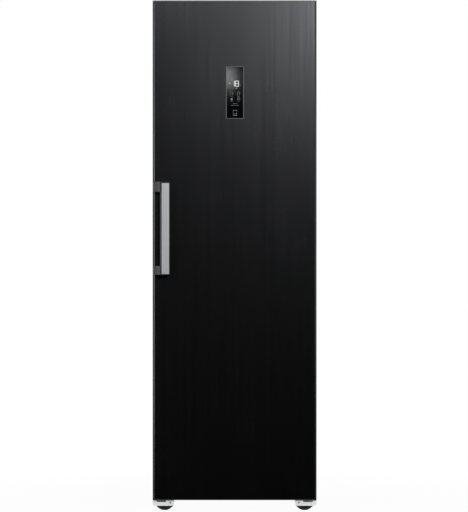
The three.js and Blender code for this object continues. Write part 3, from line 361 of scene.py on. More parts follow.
class Net:
    """Short calls that add nodes to a material, world or group; each pattern takes a place and a scale."""

    def __init__(self, tree):
        self.nodes, self.links = tree.nodes, tree.links

    def feed(self, node, values):
        """Gives inputs of a node their values, or links them to other nodes."""
        for name, value in values.items():
            if isinstance(value, bpy.types.NodeSocket):
                self.links.new(value, node.inputs[name])
            else:
                node.inputs[name].default_value = value

    def add(self, kind, values=None, **settings):
        """Adds a node with its settings and inputs, and gives its outputs."""
        node = self.nodes.new(f"ShaderNode{kind}")
        for name, value in settings.items():
            setattr(node, name, value)
        self.feed(node, values or {})
        return node.outputs

    def math(self, operation, *values, clamp=False):
        return self.add("Math", dict(enumerate(values)), operation=operation, use_clamp=clamp)[0]

    def stretch(self, place, factors):
        return self.add("VectorMath", {0: place, 1: factors}, operation="MULTIPLY")["Vector"]

    def noise(self, place, scale, detail=2.0, roughness=0.5):
        values = {"Vector": place, "Scale": scale, "Detail": detail, "Roughness": roughness}
        return self.add("TexNoise", values)["Fac"]

    def contrast(self, value, low, high):
        """A value spread over 0 to 1 between two limits."""
        values = {"Value": value, "From Min": low, "From Max": high}
        return self.add("MapRange", values, interpolation_type="SMOOTHSTEP")["Result"]

    def upright_grain(self, place, scale):
        """Fine and broad streaks that run up and down, as brushing leaves them."""
        fine = self.noise(self.stretch(place, (1, 1, 0.012)), scale, 3.0)
        wide = self.noise(self.stretch(place, (0.3, 0.3, 0.001)), scale)
        share = self.math("MULTIPLY", wide, 0.35)
        return self.contrast(self.math("MULTIPLY_ADD", fine, 0.65, share), 0.25, 0.75)

    def moulded_grain(self, place, scale):
        """The fine even grain of moulded plastic."""
        return self.contrast(self.noise(place, scale, 2.0, 0.6), 0.3, 0.7)

    def soft_waves(self, place, scale):
        """The soft waves of paint, enamel or formed sheet."""
        return self.noise(place, scale, 0.5)

    def spangle(self, place, scale):
        """The crystals of a zinc coat, each with its own tone."""
        cells = self.add("TexVoronoi", {"Vector": place, "Scale": scale})
        return self.add("SeparateColor", {"Color": cells["Color"]})["Red"]

    def foam_cells(self, place, scale):
        """The cells of cut foam."""
        return self.add("TexVoronoi", {"Vector": place, "Scale": scale})["Distance"]

    def hand_marks(self, place, scale):
        """Faint patches where hands and cloths have been."""
        return self.contrast(self.noise(place, scale, 5.0, 0.6), 0.5, 0.75)

    def settled_dust(self, place, scale):
        """Specks of dust, thickest low down."""
        specks = self.contrast(self.noise(place, scale, 4.0, 0.7), 0.45, 0.8)
        height = self.add("SeparateXYZ", {"Vector": place})["Z"]
        low = self.add("MapRange", {"Value": height, "From Max": 0.5, "To Min": 1.0, "To Max": 0.25})
        return self.math("MULTIPLY", specks, low["Result"])

    def rows(self, place, scale):
        """Fine rows one above the other, as on a ribbed lens."""
        values = {"Vector": place, "Scale": scale}
        return self.add("TexWave", values, wave_type="BANDS", bands_direction="Z")["Fac"]


def effect_group(name):
    """The node group that tints a colour and roughens it by a pattern, and gives its height."""
    if name in bpy.data.node_groups:
        return bpy.data.node_groups[name]
    group = bpy.data.node_groups.new(name, "ShaderNodeTree")
    kinds = {"Vector": "Vector", "Color": "Color", "Tint": "Color"}
    ways = {"INPUT": "Vector Color Roughness Scale Tint Amount Spread", "OUTPUT": "Color Roughness Height"}
    for way, labels in ways.items():
        for label in labels.split():
            kind = f"NodeSocket{kinds.get(label, 'Float')}"
            group.interface.new_socket(name=label, in_out=way, socket_type=kind)
    net = Net(group)
    given = net.nodes.new("NodeGroupInput").outputs
    out = net.nodes.new("NodeGroupOutput")
    value = getattr(net, name.replace(" ", "_"))(given["Vector"], given["Scale"])
    amount = net.math("MULTIPLY", value, given["Amount"])
    mix = net.add("Mix", data_type="RGBA")
    rough = net.math("MULTIPLY_ADD", value, given["Spread"], given["Roughness"], clamp=True)
    net.feed(mix[0].node, {0: amount, 6: given["Color"], 7: given["Tint"]})
    net.feed(out, {"Color": mix[2], "Roughness": rough, "Height": value})
    return group


made_finishes = {}


def make_finish(name, color, roughness, *effects, **plain):
    """A material whose plain values stand on its shader and whose effects feed colour, roughness and normal.

    Each effect is (pattern, scale per metre, tint, amount of tint, change of roughness, height in metres)."""
    material = bpy.data.materials.new(name)
    material.use_nodes = True
    net = Net(material.node_tree)
    shader = net.nodes["Principled BSDF"]
    now = {"Base Color": (*color, 1), "Roughness": roughness}
    net.feed(shader, now)
    for socket, value in plain.items():
        net.feed(shader, {socket.replace("_", " ").title().replace("Ior", "IOR"): value})
    place = net.add("TexCoord")["Object"]
    for pattern, scale, tint, amount, spread, height in effects:
        values = {"Vector": place, "Color": now["Base Color"], "Roughness": now["Roughness"], "Scale": scale}
        values.update({"Tint": (*tint, 1), "Amount": amount, "Spread": spread})
        effect = net.add("Group", values, node_tree=effect_group(pattern))
        now.update({"Base Color": effect["Color"], "Roughness": effect["Roughness"]})
        if height:
            before = {"Normal": now["Normal"]} if "Normal" in now else {}
            bump = net.add("Bump", {"Distance": height, "Height": effect["Height"], **before})
            now["Normal"] = bump["Normal"]
    net.feed(shader, now)
    made_finishes[name] = material


def grey(value):
    return (value, value, value)


def shade(color, factor):
    return tuple(c * factor for c in color)


def finishes():
    """The materials by name, made at the first call from the finish settings."""
    if made_finishes:
        return made_finishes
    look = bpy.context.scene.freezer_finish
    settings = (look.door_color, look.cabinet_color, look.liner_color, look.handle_color)
    door, cabinet, white, silver = (tuple(color) for color in settings)
    dust, pane, tub = (0.5, 0.47, 0.42), (0.93, 0.98, 0.965), (0.965, 0.981, 0.989)
    glow, marks = look.display_glow, ("hand marks", 7.0, grey(0.1), 0.0, 0.04, 0.0)
    make_finish(
        "brushed black steel", door, look.door_roughness,
        ("upright grain", 1000.0, shade(door, 1.9), 0.38, 0.015, 0.000003),
        ("upright grain", 280.0, shade(door, 0.3), 0.42, 0.008, 0.0),
        ("hand marks", 5.0, door, 0.0, 0.015, 0.0), metallic=1.0,
    )
    make_finish(
        "black cabinet steel", cabinet, 0.42, ("soft waves", 420.0, shade(cabinet, 1.25), 0.5, 0.06, 0.00002),
        ("hand marks", 5.0, dust, 0.01, 0.05, 0.0), specular_ior_level=0.35,
    )
    make_finish(
        "grey back steel", (0.16, 0.163, 0.168), 0.5,
        ("soft waves", 260.0, (0.2, 0.2, 0.205), 0.6, 0.08, 0.00003),
        ("settled dust", 140.0, dust, 0.25, 0.2, 0.0), metallic=0.3,
    )
    make_finish(
        "zinc steel", (0.78, 0.79, 0.81), 0.34, ("spangle", 160.0, (0.6, 0.62, 0.65), 0.35, 0.12, 0.0),
        ("settled dust", 160.0, dust, 0.12, 0.2, 0.0), metallic=0.75,
    )
    make_finish(
        "cut foam", (0.86, 0.8, 0.6), 0.95, ("foam cells", 900.0, (0.62, 0.55, 0.36), 0.5, 0.0, 0.0002)
    )
    make_finish(
        "white liner plastic", white, 0.3, ("soft waves", 180.0, shade(white, 0.96), 0.5, 0.05, 0.00004),
        ("hand marks", 6.0, grey(0.75), 0.05, 0.12, 0.0),
    )
    make_finish(
        "white part plastic", shade(white, 0.97), 0.42,
        ("moulded grain", 1500.0, shade(white, 0.9), 0.3, 0.08, 0.00003),
    )
    make_finish(
        "shelf glass", pane, 0.02, ("hand marks", 8.0, pane, 0.0, 0.05, 0.0), transmission_weight=1.0, ior=1.5
    )
    make_finish(
        "clear drawer plastic", tub, 0.06, ("soft waves", 90.0, (0.935, 0.966, 0.98), 0.5, 0.03, 0.00004),
        ("hand marks", 9.0, tub, 0.0, 0.08, 0.0), transmission_weight=0.95, ior=1.3,
    )
    make_finish(
        "black plastic", grey(0.022), 0.45, ("moulded grain", 1800.0, grey(0.035), 0.5, 0.12, 0.00004),
        ("settled dust", 150.0, dust, 0.06, 0.1, 0.0),
    )
    make_finish(
        "grey plastic", (0.05, 0.0505, 0.053), 0.45,
        ("moulded grain", 1600.0, (0.07, 0.071, 0.074), 0.5, 0.1, 0.00003), marks, specular_ior_level=0.32,
    )
    make_finish(
        "bright bracket steel", (0.97, 0.975, 0.985), 0.42,
        ("spangle", 220.0, (0.88, 0.89, 0.91), 0.35, 0.1, 0.0),
        ("hand marks", 40.0, grey(0.7), 0.08, 0.1, 0.0), metallic=0.04,
    )
    # The cap grey is painted light: on the upper door cap it is a painted highlight, paler than the black
    # lower cap of the same kind, and on the inserts in the front brackets' slots it is a grey part's colour
    # with painted shade; the rim grey is the rim's own colour.
    for part, value, rough, height in (("cap", 0.14, 0.5, 0.00003), ("rim", 0.145, 0.45, 0.00002)):
        grain = ("moulded grain", 1500.0, grey(0.19), 0.5, 0.1, height)
        make_finish(f"pale {part} plastic", grey(value), rough, grain)
    make_finish(
        "fin aluminium", (0.75, 0.76, 0.77), 0.35,
        ("soft waves", 120.0, (0.6, 0.61, 0.62), 0.4, 0.2, 0.00004), metallic=1.0,
    )
    make_finish(
        "copper pipe", (0.66, 0.38, 0.25), 0.32, ("hand marks", 30.0, (0.3, 0.15, 0.09), 0.6, 0.25, 0.0),
        metallic=1.0,
    )
    make_finish(
        "black enamel", grey(0.012), 0.22, ("soft waves", 220.0, grey(0.02), 0.4, 0.08, 0.00004),
        ("settled dust", 90.0, dust, 0.06, 0.2, 0.0), coat_weight=0.4,
    )
    make_finish(
        "foot rubber", grey(0.006), 0.6, ("moulded grain", 1400.0, grey(0.016), 0.5, 0.15, 0.00005),
        specular_ior_level=0.25,
    )
    make_finish(
        "seal rubber", (0.3, 0.305, 0.31), 0.55,
        ("moulded grain", 900.0, (0.24, 0.245, 0.25), 0.4, 0.1, 0.00003),
        ("hand marks", 12.0, dust, 0.1, 0.1, 0.0),
    )
    make_finish(
        "satin aluminium", silver, look.handle_roughness,
        ("upright grain", 1400.0, shade(silver, 0.9), 0.5, 0.06, 0.000004), marks, metallic=0.7,
    )
    make_finish(
        "black display glass", grey(0.0008), 0.085, ("hand marks", 30.0, grey(0.004), 0.1, 0.03, 0.0),
        coat_weight=0.3, coat_roughness=0.09,
    )
    make_finish(
        "lit symbols", grey(0.5), 0.4, ("moulded grain", 700.0, grey(0.42), 0.3, 0.05, 0.0),
        emission_color=(0.85, 0.93, 1.0, 1), emission_strength=glow,
    )
    make_finish(
        "dim symbols", grey(0.16), 0.4, ("moulded grain", 700.0, grey(0.12), 0.3, 0.05, 0.0),
        emission_color=(0.8, 0.88, 1.0, 1), emission_strength=glow * 0.3,
    )
    make_finish(
        "screw steel", (0.45, 0.455, 0.46), 0.35, ("hand marks", 200.0, grey(0.12), 0.5, 0.2, 0.0),
        metallic=0.9,
    )
    make_finish(
        "light lens", (0.95, 0.96, 0.97), 0.3, ("rows", 60.0, (0.8, 0.84, 0.88), 0.4, 0.1, 0.0002),
        emission_color=(0.93, 0.97, 1.0, 1), emission_strength=4.0,
    )
    return made_finishes


# ---- Settings ----


def tone(name, description, default):
    return FloatVectorProperty(name=name, description=description, size=3, subtype="COLOR", default=default)


def number(name, description, default, **kind):
    return FloatProperty(name=name, description=description, default=default, **kind)


def length(name, description, default):
    return number(name, description, default, subtype="DISTANCE", unit="LENGTH")


def amount(name, description, default, high, low=0):
    return number(name, description, default, min=low, max=high)


def factor(name, description, default):
    return number(name, description, default, min=0, max=1, subtype="FACTOR")


class FreezerFinishSettings(PropertyGroup):
    """Colours and gloss of the freezer."""

    door_color: tone("Door", "Tone of the brushed steel", (0.058, 0.0589, 0.0627))
    door_roughness: factor("Door roughness", "Spread of the door's gloss", 0.25)
    cabinet_color: tone("Cabinet", "Paint of the sides and top", (0.03, 0.03, 0.031))
    liner_color: tone("Inside", "Plastic of the cold space", (0.82, 0.83, 0.84))
    handle_color: tone("Handle", "Aluminium of the plate", (0.6, 0.606, 0.627))
    handle_roughness: factor("Handle roughness", "Spread of the plate's gloss", 0.42)
    display_glow: amount("Display glow", "Brightness of the lit symbols", 0.55, 10)


class FreezerShapeSettings(PropertyGroup):
    """Sizes and counts of the freezer's details."""

    door_edge: length("Door edge", "Radius of the door's front edges", 0.0095)
    sheet: length("Sheet", "Thickness of the steel", 0.001)
    shown_number: IntProperty(
        name="Shown number", description="Degrees below zero on the display", default=18, min=0, max=99
    )
    fan_blades: IntProperty(name="Fan blades", description="Blades of the fan", default=5, min=3, max=9)


class FreezerStageSettings(PropertyGroup):
    """Camera and light."""

    camera_distance: length("Camera distance", "From the door to the lens", 10.0)
    lens: amount("Lens", "Focal length in millimetres", 194.0, 500, 20)
    key_power: amount("Key light", "Power of the main soft light in watts", 38.0, 500)
    room_light: amount("Room light", "Strength of the even light all round", 0.7, 5)


# ---- Door ----


class FREEZER_OT_door(Operator):
    """Makes the door's steel skin, its caps, its liner and its seal"""

    bl_idname = "freezer.door"
    bl_label = "Door"

    def execute(self, context):
        shape = context.scene.freezer_shape
        low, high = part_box("door_skin")
        bm = block(low, high)
        front = edges_along(bm, Z, lambda m: m.y < low.y + 0.001)
        round_edges(bm, front, shape.door_edge, 12)
        ends = [f for f in bm.faces if abs(f.normal.z) > 0.9 or f.normal.y > 0.9]
        bmesh.ops.delete(bm, geom=ends, context="FACES")
        bmesh.ops.solidify(bm, geom=bm.faces, thickness=shape.sheet)
        bmesh.ops.recalc_face_normals(bm, faces=bm.faces)
        window_low, window_high = rim_box()
        lip = 0.0018
        window = block(
            (window_low.x + lip, low.y - 0.01, window_low.z + lip),
            (window_high.x - lip, low.y + 0.004, window_high.z - lip),
        )
        pin_x, pin_room, room_floor, over = middle_of("hinge_pin_top").x, 0.0125, 1.8415, 0.01
        recess = block((pin_x - pin_room, low.y + 0.007, room_floor), high + Vector((over, over, over)))
        piece("door_skin_brushed", carved(bm, window, recess), "brushed black steel", "door_skin")
        # The upper door cap is paler grey than the black lower cap: a painted highlight where the top edge
        # catches the light.
        dress("door_top_cap", "door_cap_upper_painted_highlight", "pale cap plastic", 0.0005)
        dress("door_bottom_cap", "door_cap_lower", "black plastic", 0.0005)
        for node in ("hinge_bush_top", "hinge_bush_bottom"):
            dress(node, f"{node}_turned", "grey plastic", 0.0003)
        self.make_liner()
        self.make_seal()
        return {"FINISHED"}

    def make_liner(self):
        """White panel inside the seal, with a raised field and shallow upright ribs."""
        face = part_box("door_liner")[1].y
        seal_low, seal_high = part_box("door_gasket")
        gap, relief, spacing, half_width, margin = 0.034, 0.0016, 0.088, 0.036, 0.07
        field = plate(
            (seal_low.x + gap, face - 0.0005, seal_low.z + gap),
            (seal_high.x - gap, face + relief, seal_high.z - gap), Y, 0.02,
        )
        round_edges(field, edges_at(field, lambda m: m.y > face + relief - 0.0001), 0.0014, 3)
        hollows = []
        for i in range(-2, 3):
            low = (i * spacing - half_width, face + 0.0004, seal_low.z + margin)
            high = (i * spacing + half_width, face + 0.004, seal_high.z - margin)
            hollows.append(plate(low, high, Y, 0.012, segments=5))
        panel = merged(copy_of("door_liner", 0.0004), carved(field, *hollows))
        piece("door_liner_panel", panel, "white liner plastic", "door_liner")

    def make_seal(self):
        """Pleated seal: a flat foot on the door, a bellows and the magnet's lip."""
        low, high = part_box("door_gasket")
        section = [
            (0.0, 0.0), (0.0, 0.22), (0.003, 0.34), (0.001, 0.5), (0.003, 0.62), (0.0, 0.74), (0.0, 0.94),
            (0.0012, 1.0), (0.0168, 1.0), (0.018, 0.94), (0.018, 0.74), (0.0155, 0.62), (0.018, 0.5),
            (0.0165, 0.34), (0.021, 0.2), (0.026, 0.12), (0.026, 0.0),
        ]
        profile = [(inset, low.y + share * (high.y - low.y)) for inset, share in section]
        piece("door_seal_pleated", ring_frame(low, high, profile), "seal rubber", "door_gasket", smooth=50)


class FREEZER_OT_handle(Operator):
    """Makes the bar handle with its end blocks and silver plate"""

    bl_idname = "freezer.handle"
    bl_label = "Handle"

    def execute(self, context):
        low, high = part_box("handle_body")
        plate_low, plate_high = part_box("handle_front_plate")
        door_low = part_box("door_skin")[0]
        edge, bevel, bar_depth, gap = context.scene.freezer_shape.door_edge, 0.0055, 0.0095, 0.0003
        front, back, outer, inner = low.y, low.y + bar_depth, low.x + 0.0277, high.x
        bar = [(outer, back), (outer, front + bevel), (plate_low.x, front), (inner, front), (inner, back)]
        parts = [soften(outline(bar, Z, low.z + 0.0001, high.z - 0.0001), 0.0006)]
        start, end = Vector((low.x, door_low.y + 0.002)), Vector((outer, front + bevel))
        bend = Vector((low.x + 0.0057, front + bevel + 0.006))
        steps = [i / 14 for i in range(15)]
        curve = [start.lerp(bend, t).lerp(bend.lerp(end, t), t) for t in steps]
        foot = door_low.y + edge
        ramp = [(low.x, foot), *curve, (plate_low.x, front), (inner, front), (inner, foot)]
        lower_height, upper_height = 0.0312, 0.0362
        for base, height in ((low.z, lower_height), (high.z - upper_height, upper_height)):
            room = block((door_low.x - gap, door_low.y - gap, 0.5), (0.3, door_low.y + 0.05, 1.5))
            corner = edges_along(room, Z, lambda m: m.y < door_low.y and m.x < 0)
            round_edges(room, corner, edge + gap, 12)
            parts.append(soften(carved(outline(ramp, Z, base, base + height), room), 0.0009, 3, 40))
        piece("handle_grip_body", merged(*parts), "grey plastic", "handle_body", smooth=40)
        middle, half = (plate_low.x + plate_high.x) / 2 + 0.0002, (plate_high.x - plate_low.x) / 2 - 0.0006
        crown, chamfer = 0.0005, 0.0009
        rim = plate_low.y + crown + chamfer
        section = [(middle - half, plate_high.y), (middle - half, rim)]
        for i in range(-6, 7):
            section.append((middle + i / 6 * (half - chamfer), plate_low.y + crown * (i / 6) ** 2))
        section += [(middle + half, rim), (middle + half, plate_high.y)]
        cover = outline(section, Z, plate_low.z + 0.0018, plate_high.z - 0.005)
        ends = edges_at(cover, lambda m: m.y < rim + 1e-5)
        ends = [e for e in ends if len(e.link_faces) == 2 and e.calc_face_angle(0) > 1.3]
        round_edges(cover, ends, chamfer, 3)
        piece("handle_silver_plate", cover, "satin aluminium", "handle_front_plate", smooth=25)
        return {"FINISHED"}


def rim_box():
    """The display rim's corners: a little inside its CAD solid, where the photograph shows it."""
    low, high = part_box("display_bezel")
    return low + Vector((0.0015, 0, 0.0015)), high - Vector((0.0006, 0, 0.0036))


DIGITS = {
    0: "abcdef", 1: "bc", 2: "abged", 3: "abgcd", 4: "fgbc", 5: "afgcd", 6: "afgedc", 7: "abc", 8: "abcdefg",
    9: "abcdfg",
}


def digit(value, left, low, width=0.0138, height=0.0212, line=0.0019):
    """The bars of a digit; a bar is (left, low, right, high), with its centre and turn if it has one."""
    right, high, middle = left + width, low + height, low + height / 2
    half, gap = line / 2, 0.0003
    bars = {
        "a": (left + half, high - line, right - half, high),
        "b": (right - line, middle + gap, right, high - half),
        "c": (right - line, low + half, right, middle - gap),
        "d": (left + half, low, right - half, low + line),
        "e": (left, low + half, left + line, middle - gap),
        "f": (left, middle + gap, left + line, high - half),
        "g": (left + half, middle - half, right - half, middle + half),
    }
    return [bars[name] for name in DIGITS[value]]


def dashes(start, end, level, count=3):
    """A row of short dashes that stands for a label."""
    step, half = (end - start) / count, 0.00045
    return [(start + i * step, level - half, start + (i + 0.7) * step, level + half) for i in range(count)]


def arc(x, z, radius, start, end, line=0.0011):
    """A part of a ring, as a row of short bars from one angle to another."""
    return [(radius - line, -0.0009, radius, 0.0009, x, z, angle) for angle in range(start, end, 12)]


def lit_bars(rows, face):
    """Bars on the glass as one mesh."""
    made = []
    for x0, z0, x1, z1, *turn in rows:
        corner = min(x1 - x0, z1 - z0) * 0.35
        made.append(plate((x0, face - 0.00012, z0), (x1, face + 0.0001, z1), Y, corner, segments=3))
        if turn:
            placed(made[-1], turn_at((turn[0], 0, turn[1]), math.radians(turn[2]), "Y"))
    return merged(*made)


class FREEZER_OT_display(Operator):
    """Makes the display: a thin frame, black glass and plain lit digits and symbols"""

    bl_idname = "freezer.display"
    bl_label = "Display"

    def execute(self, context):
        low, high = rim_box()
        lip, floor_depth = 0.001, 0.0092
        depths = [
            (0.0, 0.0012), (0.0, 0.0002), (0.0003, 0.0), (0.0017, 0.0008), (0.0017, 0.0096), (lip, 0.0108),
            (lip, 0.0012),
        ]
        rim = ring_frame(low, high, [(inset, low.y + depth) for inset, depth in depths])
        floor = block((low.x + lip, low.y + floor_depth, low.z + lip), (high.x - lip, high.y, high.z - lip))
        piece("display_rim", merged(rim, floor), "pale rim plastic", "display_bezel", smooth=30)
        glass_low, glass_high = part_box("display_glass")
        glass_low += Vector((-0.0003, 0.0006, -0.0003))
        glass_high += Vector((0.001, 0.0006, -0.0018))
        glass = plate(glass_low, glass_high, Y, 0.001, 0.0003)
        piece("display_black_glass", glass, "black display glass", "display_glass")
        bright, dim = self.symbols(context.scene.freezer_shape.shown_number)
        for name, rows in (("lit symbols", bright), ("dim symbols", dim)):
            bars = lit_bars(rows, glass_low.y)
            piece(f"display_{name.replace(' ', '_')}", bars, name, body="door")
        return {"FINISHED"}

    def symbols(self, number):
        """The bright and the dim bars: number, two bulbs, star and square with their labels, and dial."""
        bright = [*digit(number // 10, -0.0141, 1.5383), *digit(number % 10, 0.0017, 1.5383)]
        minus, star_heart = (-0.0204, 1.5499, -0.0158, 1.5511), (-0.0122, 1.4909, -0.0089, 1.494)
        bright += [minus, star_heart]
        dim = [(0.0198, 1.541, 0.0211, 1.5455), (-0.0048, 1.5316, -0.0028, 1.5333)]
        dim.append((0.0026, 1.5316, 0.0102, 1.5333))
        for x in (-0.0106, 0.0145):
            dim += [*arc(x, 1.5132, 0.0052, -52, 53), *arc(x, 1.5132, 0.0052, 128, 233)]
            dim.append((x - 0.0014, 1.5185, x + 0.0014, 1.5196))
        dim += [(-0.0052, -0.0005, 0.0052, 0.0005, -0.0106, 1.4926, angle) for angle in (45, 135)]
        left, right, low, high, line = 0.0101, 0.0189, 1.491, 1.498, 0.0008
        dim += [(left, level, right, level + line) for level in (low, high - line)]
        dim += [(x, low + 0.001, x + line, high - 0.001) for x in (left, right - line)]
        for start, end in ((-0.0146, -0.0066), (left + 0.0004, right - 0.0004)):
            dim += [*dashes(start, end, 1.5034), *dashes(start, end, 1.4848)]
        dim += [*dashes(-0.007, 0.011, 1.477, 6), *dashes(-0.013, 0.0167, 1.4703, 9)]
        for angle, lit in ((0, dim), (50, bright), (130, bright), (180, dim), (230, bright), (310, bright)):
            lit += arc(0.0016, 1.4464, 0.0083, angle, angle + 12, 0.0016)
        bright += dashes(-0.0054, 0.009, 1.4345, 5)
        return bright, dim


# ---- Feet and cabinet ----


class FREEZER_OT_feet(Operator):
    """Makes the front brackets with their screws, the levelling feet and the rear rollers"""

    bl_idname = "freezer.feet"
    bl_label = "Feet and rollers"

    def execute(self, context):
        screw_in, screw_down, slot_start, slot_end = 0.013, 0.008, 0.0135, 0.0485
        for (name, side), node in zip(SIDES, ("foot_bracket_left", "hinge_bracket_bottom")):
            low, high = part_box(node)
            dress(node, f"front_bracket_{name}", "bright bracket steel", 0.0005)
            inner, outer = (low.x, high.x) if side > 0 else (high.x, low.x)
            at = Matrix.Translation((inner + side * screw_in, low.y, high.z - screw_down))
            screw = placed(screw_head(0.0031), at)
            piece(f"front_bracket_screw_{name}", screw, "screw steel")
            # The grey insert in each bracket's slot stands for a part seen there, and its grey is also
            # painted shade for the slot's shadowed gap.
            start, end = (low.y + 0.0022, high.z - 0.0068), (low.y + 0.0036, high.z - 0.0003)
            insert = side_block(1, outer - side * slot_start, outer - side * slot_end, start, end)
            insert = soften(insert, 0.0004)
            piece(f"front_bracket_insert_painted_shade_{name}", insert, "pale cap plastic")
        for name, side in SIDES:
            self.make_foot(f"levelling_foot_{name}")
            self.make_roller(f"rear_roller_{name}")
            bracket = f"roller_bracket_{name}"
            dress(bracket, f"{bracket}_pressed", "zinc steel", 0.0005)
        return {"FINISHED"}

    def make_foot(self, node):
        """A black domed foot with a ribbed rim and a threaded stem."""
        middle, top = middle_of(node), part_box(node)[1].z - 0.0004
        middle.z = 0
        sole, radius, dome, collar, core, crest, turns = 0.005, 0.031, 0.0155, 0.018, 0.0042, 0.005, 11
        rise = [i / 12 for i in range(13)]
        profile = [(0, 0)] + [(sole + (radius - sole) * t, dome * t**1.85) for t in rise]
        profile += [(radius, 0.0172), (radius - 0.0008, collar), (0.0062, collar), (crest, 0.0186)]
        pitch = (top - 0.0195) / turns
        for i in range(turns):
            base = 0.0192 + i * pitch
            profile += [(core, base), (crest, base + pitch / 2)]
        profile += [(core, top), (0, top)]
        notches, count, from_axis, notch_radius, notch_low, notch_high = [], 16, 0.0325, 0.0028, 0.0125, 0.03
        for i in range(count):
            notch = rod((from_axis, 0, 0), notch_radius, notch_low, notch_high, Z, 12)
            notches.append(placed(notch, turn_at(middle, i * 2 * math.pi / count, "Z")))
        foot = carved(turned(profile, middle, Z, 64), merged(*notches))
        piece(f"{node}_domed", foot, "foot rubber", node)

    def make_roller(self, node):
        """A roller with a grooved tread and a hub sunk at both ends."""
        low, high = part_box(node)
        half, radius = (high.x - low.x) / 2, (high.z - low.z) / 2
        sunk, round_off = half * 0.82, 0.0015
        end = [
            (0.0034, -half), (0.0065, -half), (0.007, -sunk), (0.0125, -sunk), (0.013, -half),
            (radius - round_off, -half), (radius, round_off - half), (radius, -0.0012),
            (radius - 0.0008, -0.0006),
        ]
        profile = [*end, *((r, -x) for r, x in reversed(end)), end[0]]
        piece(f"{node}_tread", turned(profile, middle_of(node), X), "black plastic", node)


class FREEZER_OT_cabinet(Operator):
    """Makes the painted sides and top, the back panel and the sheet metal of the machine bay"""

    bl_idname = "freezer.cabinet"
    bl_label = "Cabinet"

    def execute(self, context):
        sheet = context.scene.freezer_shape.sheet
        for name, side in SIDES:
            node = f"side_panel_{name}"
            low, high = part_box(node)
            outer, inner = (low.x, high.x) if side < 0 else (high.x, low.x)
            points = [(inner, low.y), (outer, low.y), (outer, high.y), (outer - side * 0.009, high.y)]
            panel = folded(points, low.z, high.z, sheet, 0.0026)
            piece(f"{node}_folded", panel, "black cabinet steel", node)
        dress("top_panel", "top_panel_folded", "black cabinet steel", 0.0004)
        for node in ("base_pan", "machine_base", "machine_bay_wall"):
            dress(node, f"{node}_folded", "zinc steel", 0.0004)
        self.make_back()
        self.make_board_cover()
        dress("power_cord_gland", "power_cord_gland_moulded", "black plastic", 0.0006)
        return {"FINISHED"}

    def make_back(self):
        """Grey back panel with pressed beads, and screws round its edge."""
        low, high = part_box("back_panel")
        beads, half_length, half_height, relief = [], 0.235, 0.008, 0.002
        count, first, spacing = 6, 0.43, 0.2
        for i in range(count):
            level = first + i * spacing
            bead = plate(
                (-half_length, high.y - 0.0004, level - half_height),
                (half_length, high.y + relief, level + half_height), Y, 0.0075,
            )
            beads.append(round_edges(bead, edges_at(bead, lambda m: m.y > high.y + relief - 0.0001), 0.0018))
        panel = merged(soften(block(low, high), 0.0003, 1), *beads)
        piece("back_panel_beaded", panel, "grey back steel", "back_panel")
        places = [(x, high.y, z) for x in (-0.281, 0.281) for z in (0.3, 0.6, 0.9, 1.2, 1.5, 1.8)]
        places += [(x, high.y, z) for x in (-0.14, 0.0, 0.14) for z in (0.286, 1.828)]
        screws = repeated(lambda: screw_head(0.0042, 1), places)
        piece("back_panel_screws", screws, "screw steel")

    def make_board_cover(self):
        """Pressed cover with louvres and four sunk screws."""
        low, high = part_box("main_board_cover")
        count, first, spacing, rise, aside, depth, over = 8, 0.028, 0.0098, 0.0042, 0.045, 0.0035, 0.002
        cuts, bend, margin, sunk, screw_room = [], 0.002, 0.013, 0.0022, 0.0052
        for i in range(count):
            z = low.z + first + i * spacing
            start, end = (low.x + aside, high.y - depth, z), (high.x - aside, high.y + over, z + rise)
            cuts.append(plate(start, end, Y, bend, segments=4))
        columns, rows = (low.x + margin, high.x - margin), (low.z + margin, high.z - margin)
        corners = [(x, high.y, z) for x in columns for z in rows]
        cuts += [rod(corner, screw_room, -sunk, over, Y) for corner in corners]
        lid = carved(plate(low, high, Y, 0.008, 0.002), *cuts)
        piece("board_cover_louvred", lid, "grey back steel", "main_board_cover")
        screws = repeated(lambda: screw_head(0.0036, 1), [(x, y - sunk, z) for x, y, z in corners])
        piece("board_cover_screws", screws, "screw steel")


class FREEZER_OT_hinges(Operator):
    """Makes the top hinge with its cover, and the lower pin"""

    bl_idname = "freezer.hinges"
    bl_label = "Hinges"

    def execute(self, context):
        for node in ("hinge_bracket_top", "hinge_pin_top", "hinge_pin_bottom"):
            dress(node, f"{node}_steel", "zinc steel", 0.0004)
        low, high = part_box("hinge_cover_top")
        middle, wall, over = middle_of("hinge_cover_top"), 0.0018, 0.01
        corner, crown, room_corner, near = 0.007, 0.003, 0.005, 5e-5
        cap_left, cap_radius, cap_depth = 0.012, 0.0065, 0.0009
        cover = block(low, high)
        round_edges(cover, edges_along(cover, Z, lambda m: m.y > middle.y), corner, 6)
        round_edges(cover, edges_at(cover, lambda m: m.z > high.z - near and m.y > low.y + near), crown)
        room = block((low.x + wall, low.y - over, low.z - over), high - Vector((wall, wall, wall)))
        round_edges(room, edges_along(room, Z, lambda m: m.y > 0), room_corner, 5)
        cap = rod((middle.x - cap_left, middle.y, high.z), cap_radius, -cap_depth, over, Z, 32)
        piece("hinge_cover_domed", carved(cover, room, cap), "black plastic", "hinge_cover_top")
        return {"FINISHED"}


# ---- Inside ----


